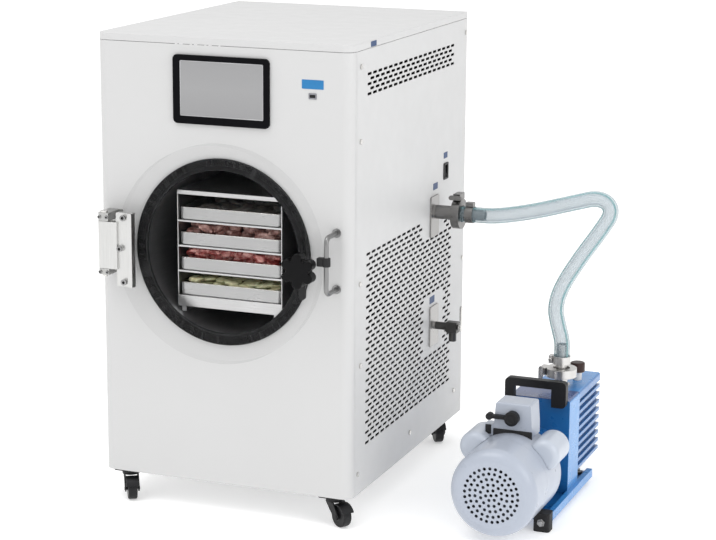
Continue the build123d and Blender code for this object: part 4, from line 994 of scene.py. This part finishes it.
f2 = fill_tray("food_pieces_2", TRAY_Z[1], M["meat_pink"], 5, 7, 7, (15, 17, 8.8), 3, square=0.25, top=36)
f3 = fill_tray("food_pieces_3", TRAY_Z[2], M["meat_red"], 11, 8, 7, (13, 18, 8.6), 3, square=0.2, top=36)
f4 = fill_tray("food_pieces_4", TRAY_Z[3], M["veg"], 17, 7, 8, (14, 16, 4.8), 4, square=0.1, rough=0.16, top=29)
# slices in the top tray, dark grey as painted shade
f1 = fill_tray("food_pieces_1", TRAY_Z[0], M["dark_food"], 23, 7, 8, (14, 16, 4.6), 2, square=0.1, rough=0.18, top=17)
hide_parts("food_load")

# ------------------------------------------- foam filters behind the rear outlets
mb = Mesh()
rbox(mb, (-56, 565.4, 100), (176, 568.4, 256), 1.0, seg=2)
rbox(mb, (-136, 565.4, 632), (136, 568.4, 694), 1.0, seg=2)
mb.make("rear_vent_filters", M["foam"])

# --------------------------------------------------- hoods over the castor wheels
for key, (cx, cy, turn) in {"fl": (-192, 24, -57.5), "fr": (192, 24, -31.8), "rl": (-192, 538, -66.0), "rr": (192, 538, -57.5)}.items():
    fx, fy = cos(radians(turn)), sin(radians(turn))
    lx, ly = -fy, fx
    ax, ay = cx + fx * 20.0, cy + fy * 20.0
    n = 18
    verts, faces = [], []
    for i in range(n + 1):
        t = radians(24 + (158 - 24) * i / n)
        for r, w in ((20.1, -11.35), (20.1, 11.35), (21.7, 11.35), (21.7, -11.35)):
            u = r * cos(t)
            verts.append(P(ax + fx * u + lx * w, ay + fy * u + ly * w, -33.0 + r * sin(t)))
    for i in range(n):
        for q in range(4):
            a0, a1 = 4 * i + q, 4 * i + (q + 1) % 4
            faces.append((a0, a1, a1 + 4, a0 + 4))
    faces.append((3, 2, 1, 0))
    faces.append((4 * n, 4 * n + 1, 4 * n + 2, 4 * n + 3))
    mb = Mesh()
    mb.add(verts, faces)
    mb.make("caster_hood_" + key, M["caster"], body="swivel_" + key, sharp=40)

# ----------------------------------------------------------- hose clamp screws
mb = Mesh()
lathe(mb, P(299, 406.0, 436.5), (0, 1, 0), [(0, 0), (2.2, 0), (2.2, 1.2), (3.4, 1.3), (3.4, 4.6), (2.9, 5.2), (0, 5.2)], 6, sides=6)
lathe(mb, P(470.5, 343.9, 183), (0, -1, 0), [(0, 0), (2.2, 0), (2.2, 1.2), (3.4, 1.3), (3.4, 4.6), (2.9, 5.2), (0, 5.2)], 6, sides=6)
mb.make("hose_clamp_screws", M["steel_bright"], sharp=25)

# ------------------------------------------------------------------- pump
# black rubber seal under the terminal box, made tall enough to stand in for the shade gap between the box and the motor
# shell (painted shade), with a small block at its left
mb = Mesh()
rbox(mb, (437.2, 122.4, 98.2), (504.8, 126.4, 116.0), 1.5, seg=3)
rbox(mb, (423.0, 124.6, 105.0), (433.0, 127.0, 121.0), 0.9, seg=3)
mb.make("terminal_box_seal_shade_band", M["rubber"])
mb = Mesh()
lathe(mb, P(471, 115.6, 138), (0, -1, 0), [(12.4, -0.2), (12.6, 0.4), (12.3, 2.6), (10.8, 3.6), (7.5, 3.9), (6.8, 3.3), (0, 3.3)], 40)
lathe(mb, P(432, 115.6, 138), (0, -1, 0), [(0, -6.0), (5.6, -6.0), (6.0, -5.2), (6.0, 0.6), (5.2, 1.4), (0, 1.5)], 28)
mb.make("pump_switch_grip", M["black_plastic"], body="pump_selector")
mb = Mesh()
for x in (415, 527):
    lathe(mb, P(x, 114, -36), (0, -1, 0), [(0, 0), (7.0, 0), (7.0, 0.9), (5.0, 1.0), (5.0, 4.0), (4.3, 4.6), (0, 4.6)], 6, sides=6, start=0.3)
for x, y in ((427, 382), (515, 382)):
    lathe(mb, P(x, y, -29), (0, 0, 1), [(0, 0), (7.4, 0), (7.4, 0.9), (5.4, 1.0), (5.4, 4.4), (4.6, 5.0), (0, 5.0)], 6, sides=6, start=0.3)
mb.make("pump_foot_bolts", M["bolt"], sharp=25)
mb = Mesh()
lathe(mb, P(479.5, 466, 50), (0, 1, 0), [(17.2, -0.4), (17.2, 0.5), (16.2, 1.0), (12.6, 1.0), (12.0, 0.4), (12.0, 0.1)], 48)
lathe(mb, P(507.5, 466, 16), (0, 1, 0), [(0, 0), (5.5, 0), (5.5, 0.9), (5.0, 1.0), (0, 1.0)], 6, sides=6)
mb.make("sight_glass_ring", M["steel_bright"], sharp=30)

# ------------------------------------------------------------- size and end
lo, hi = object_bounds()
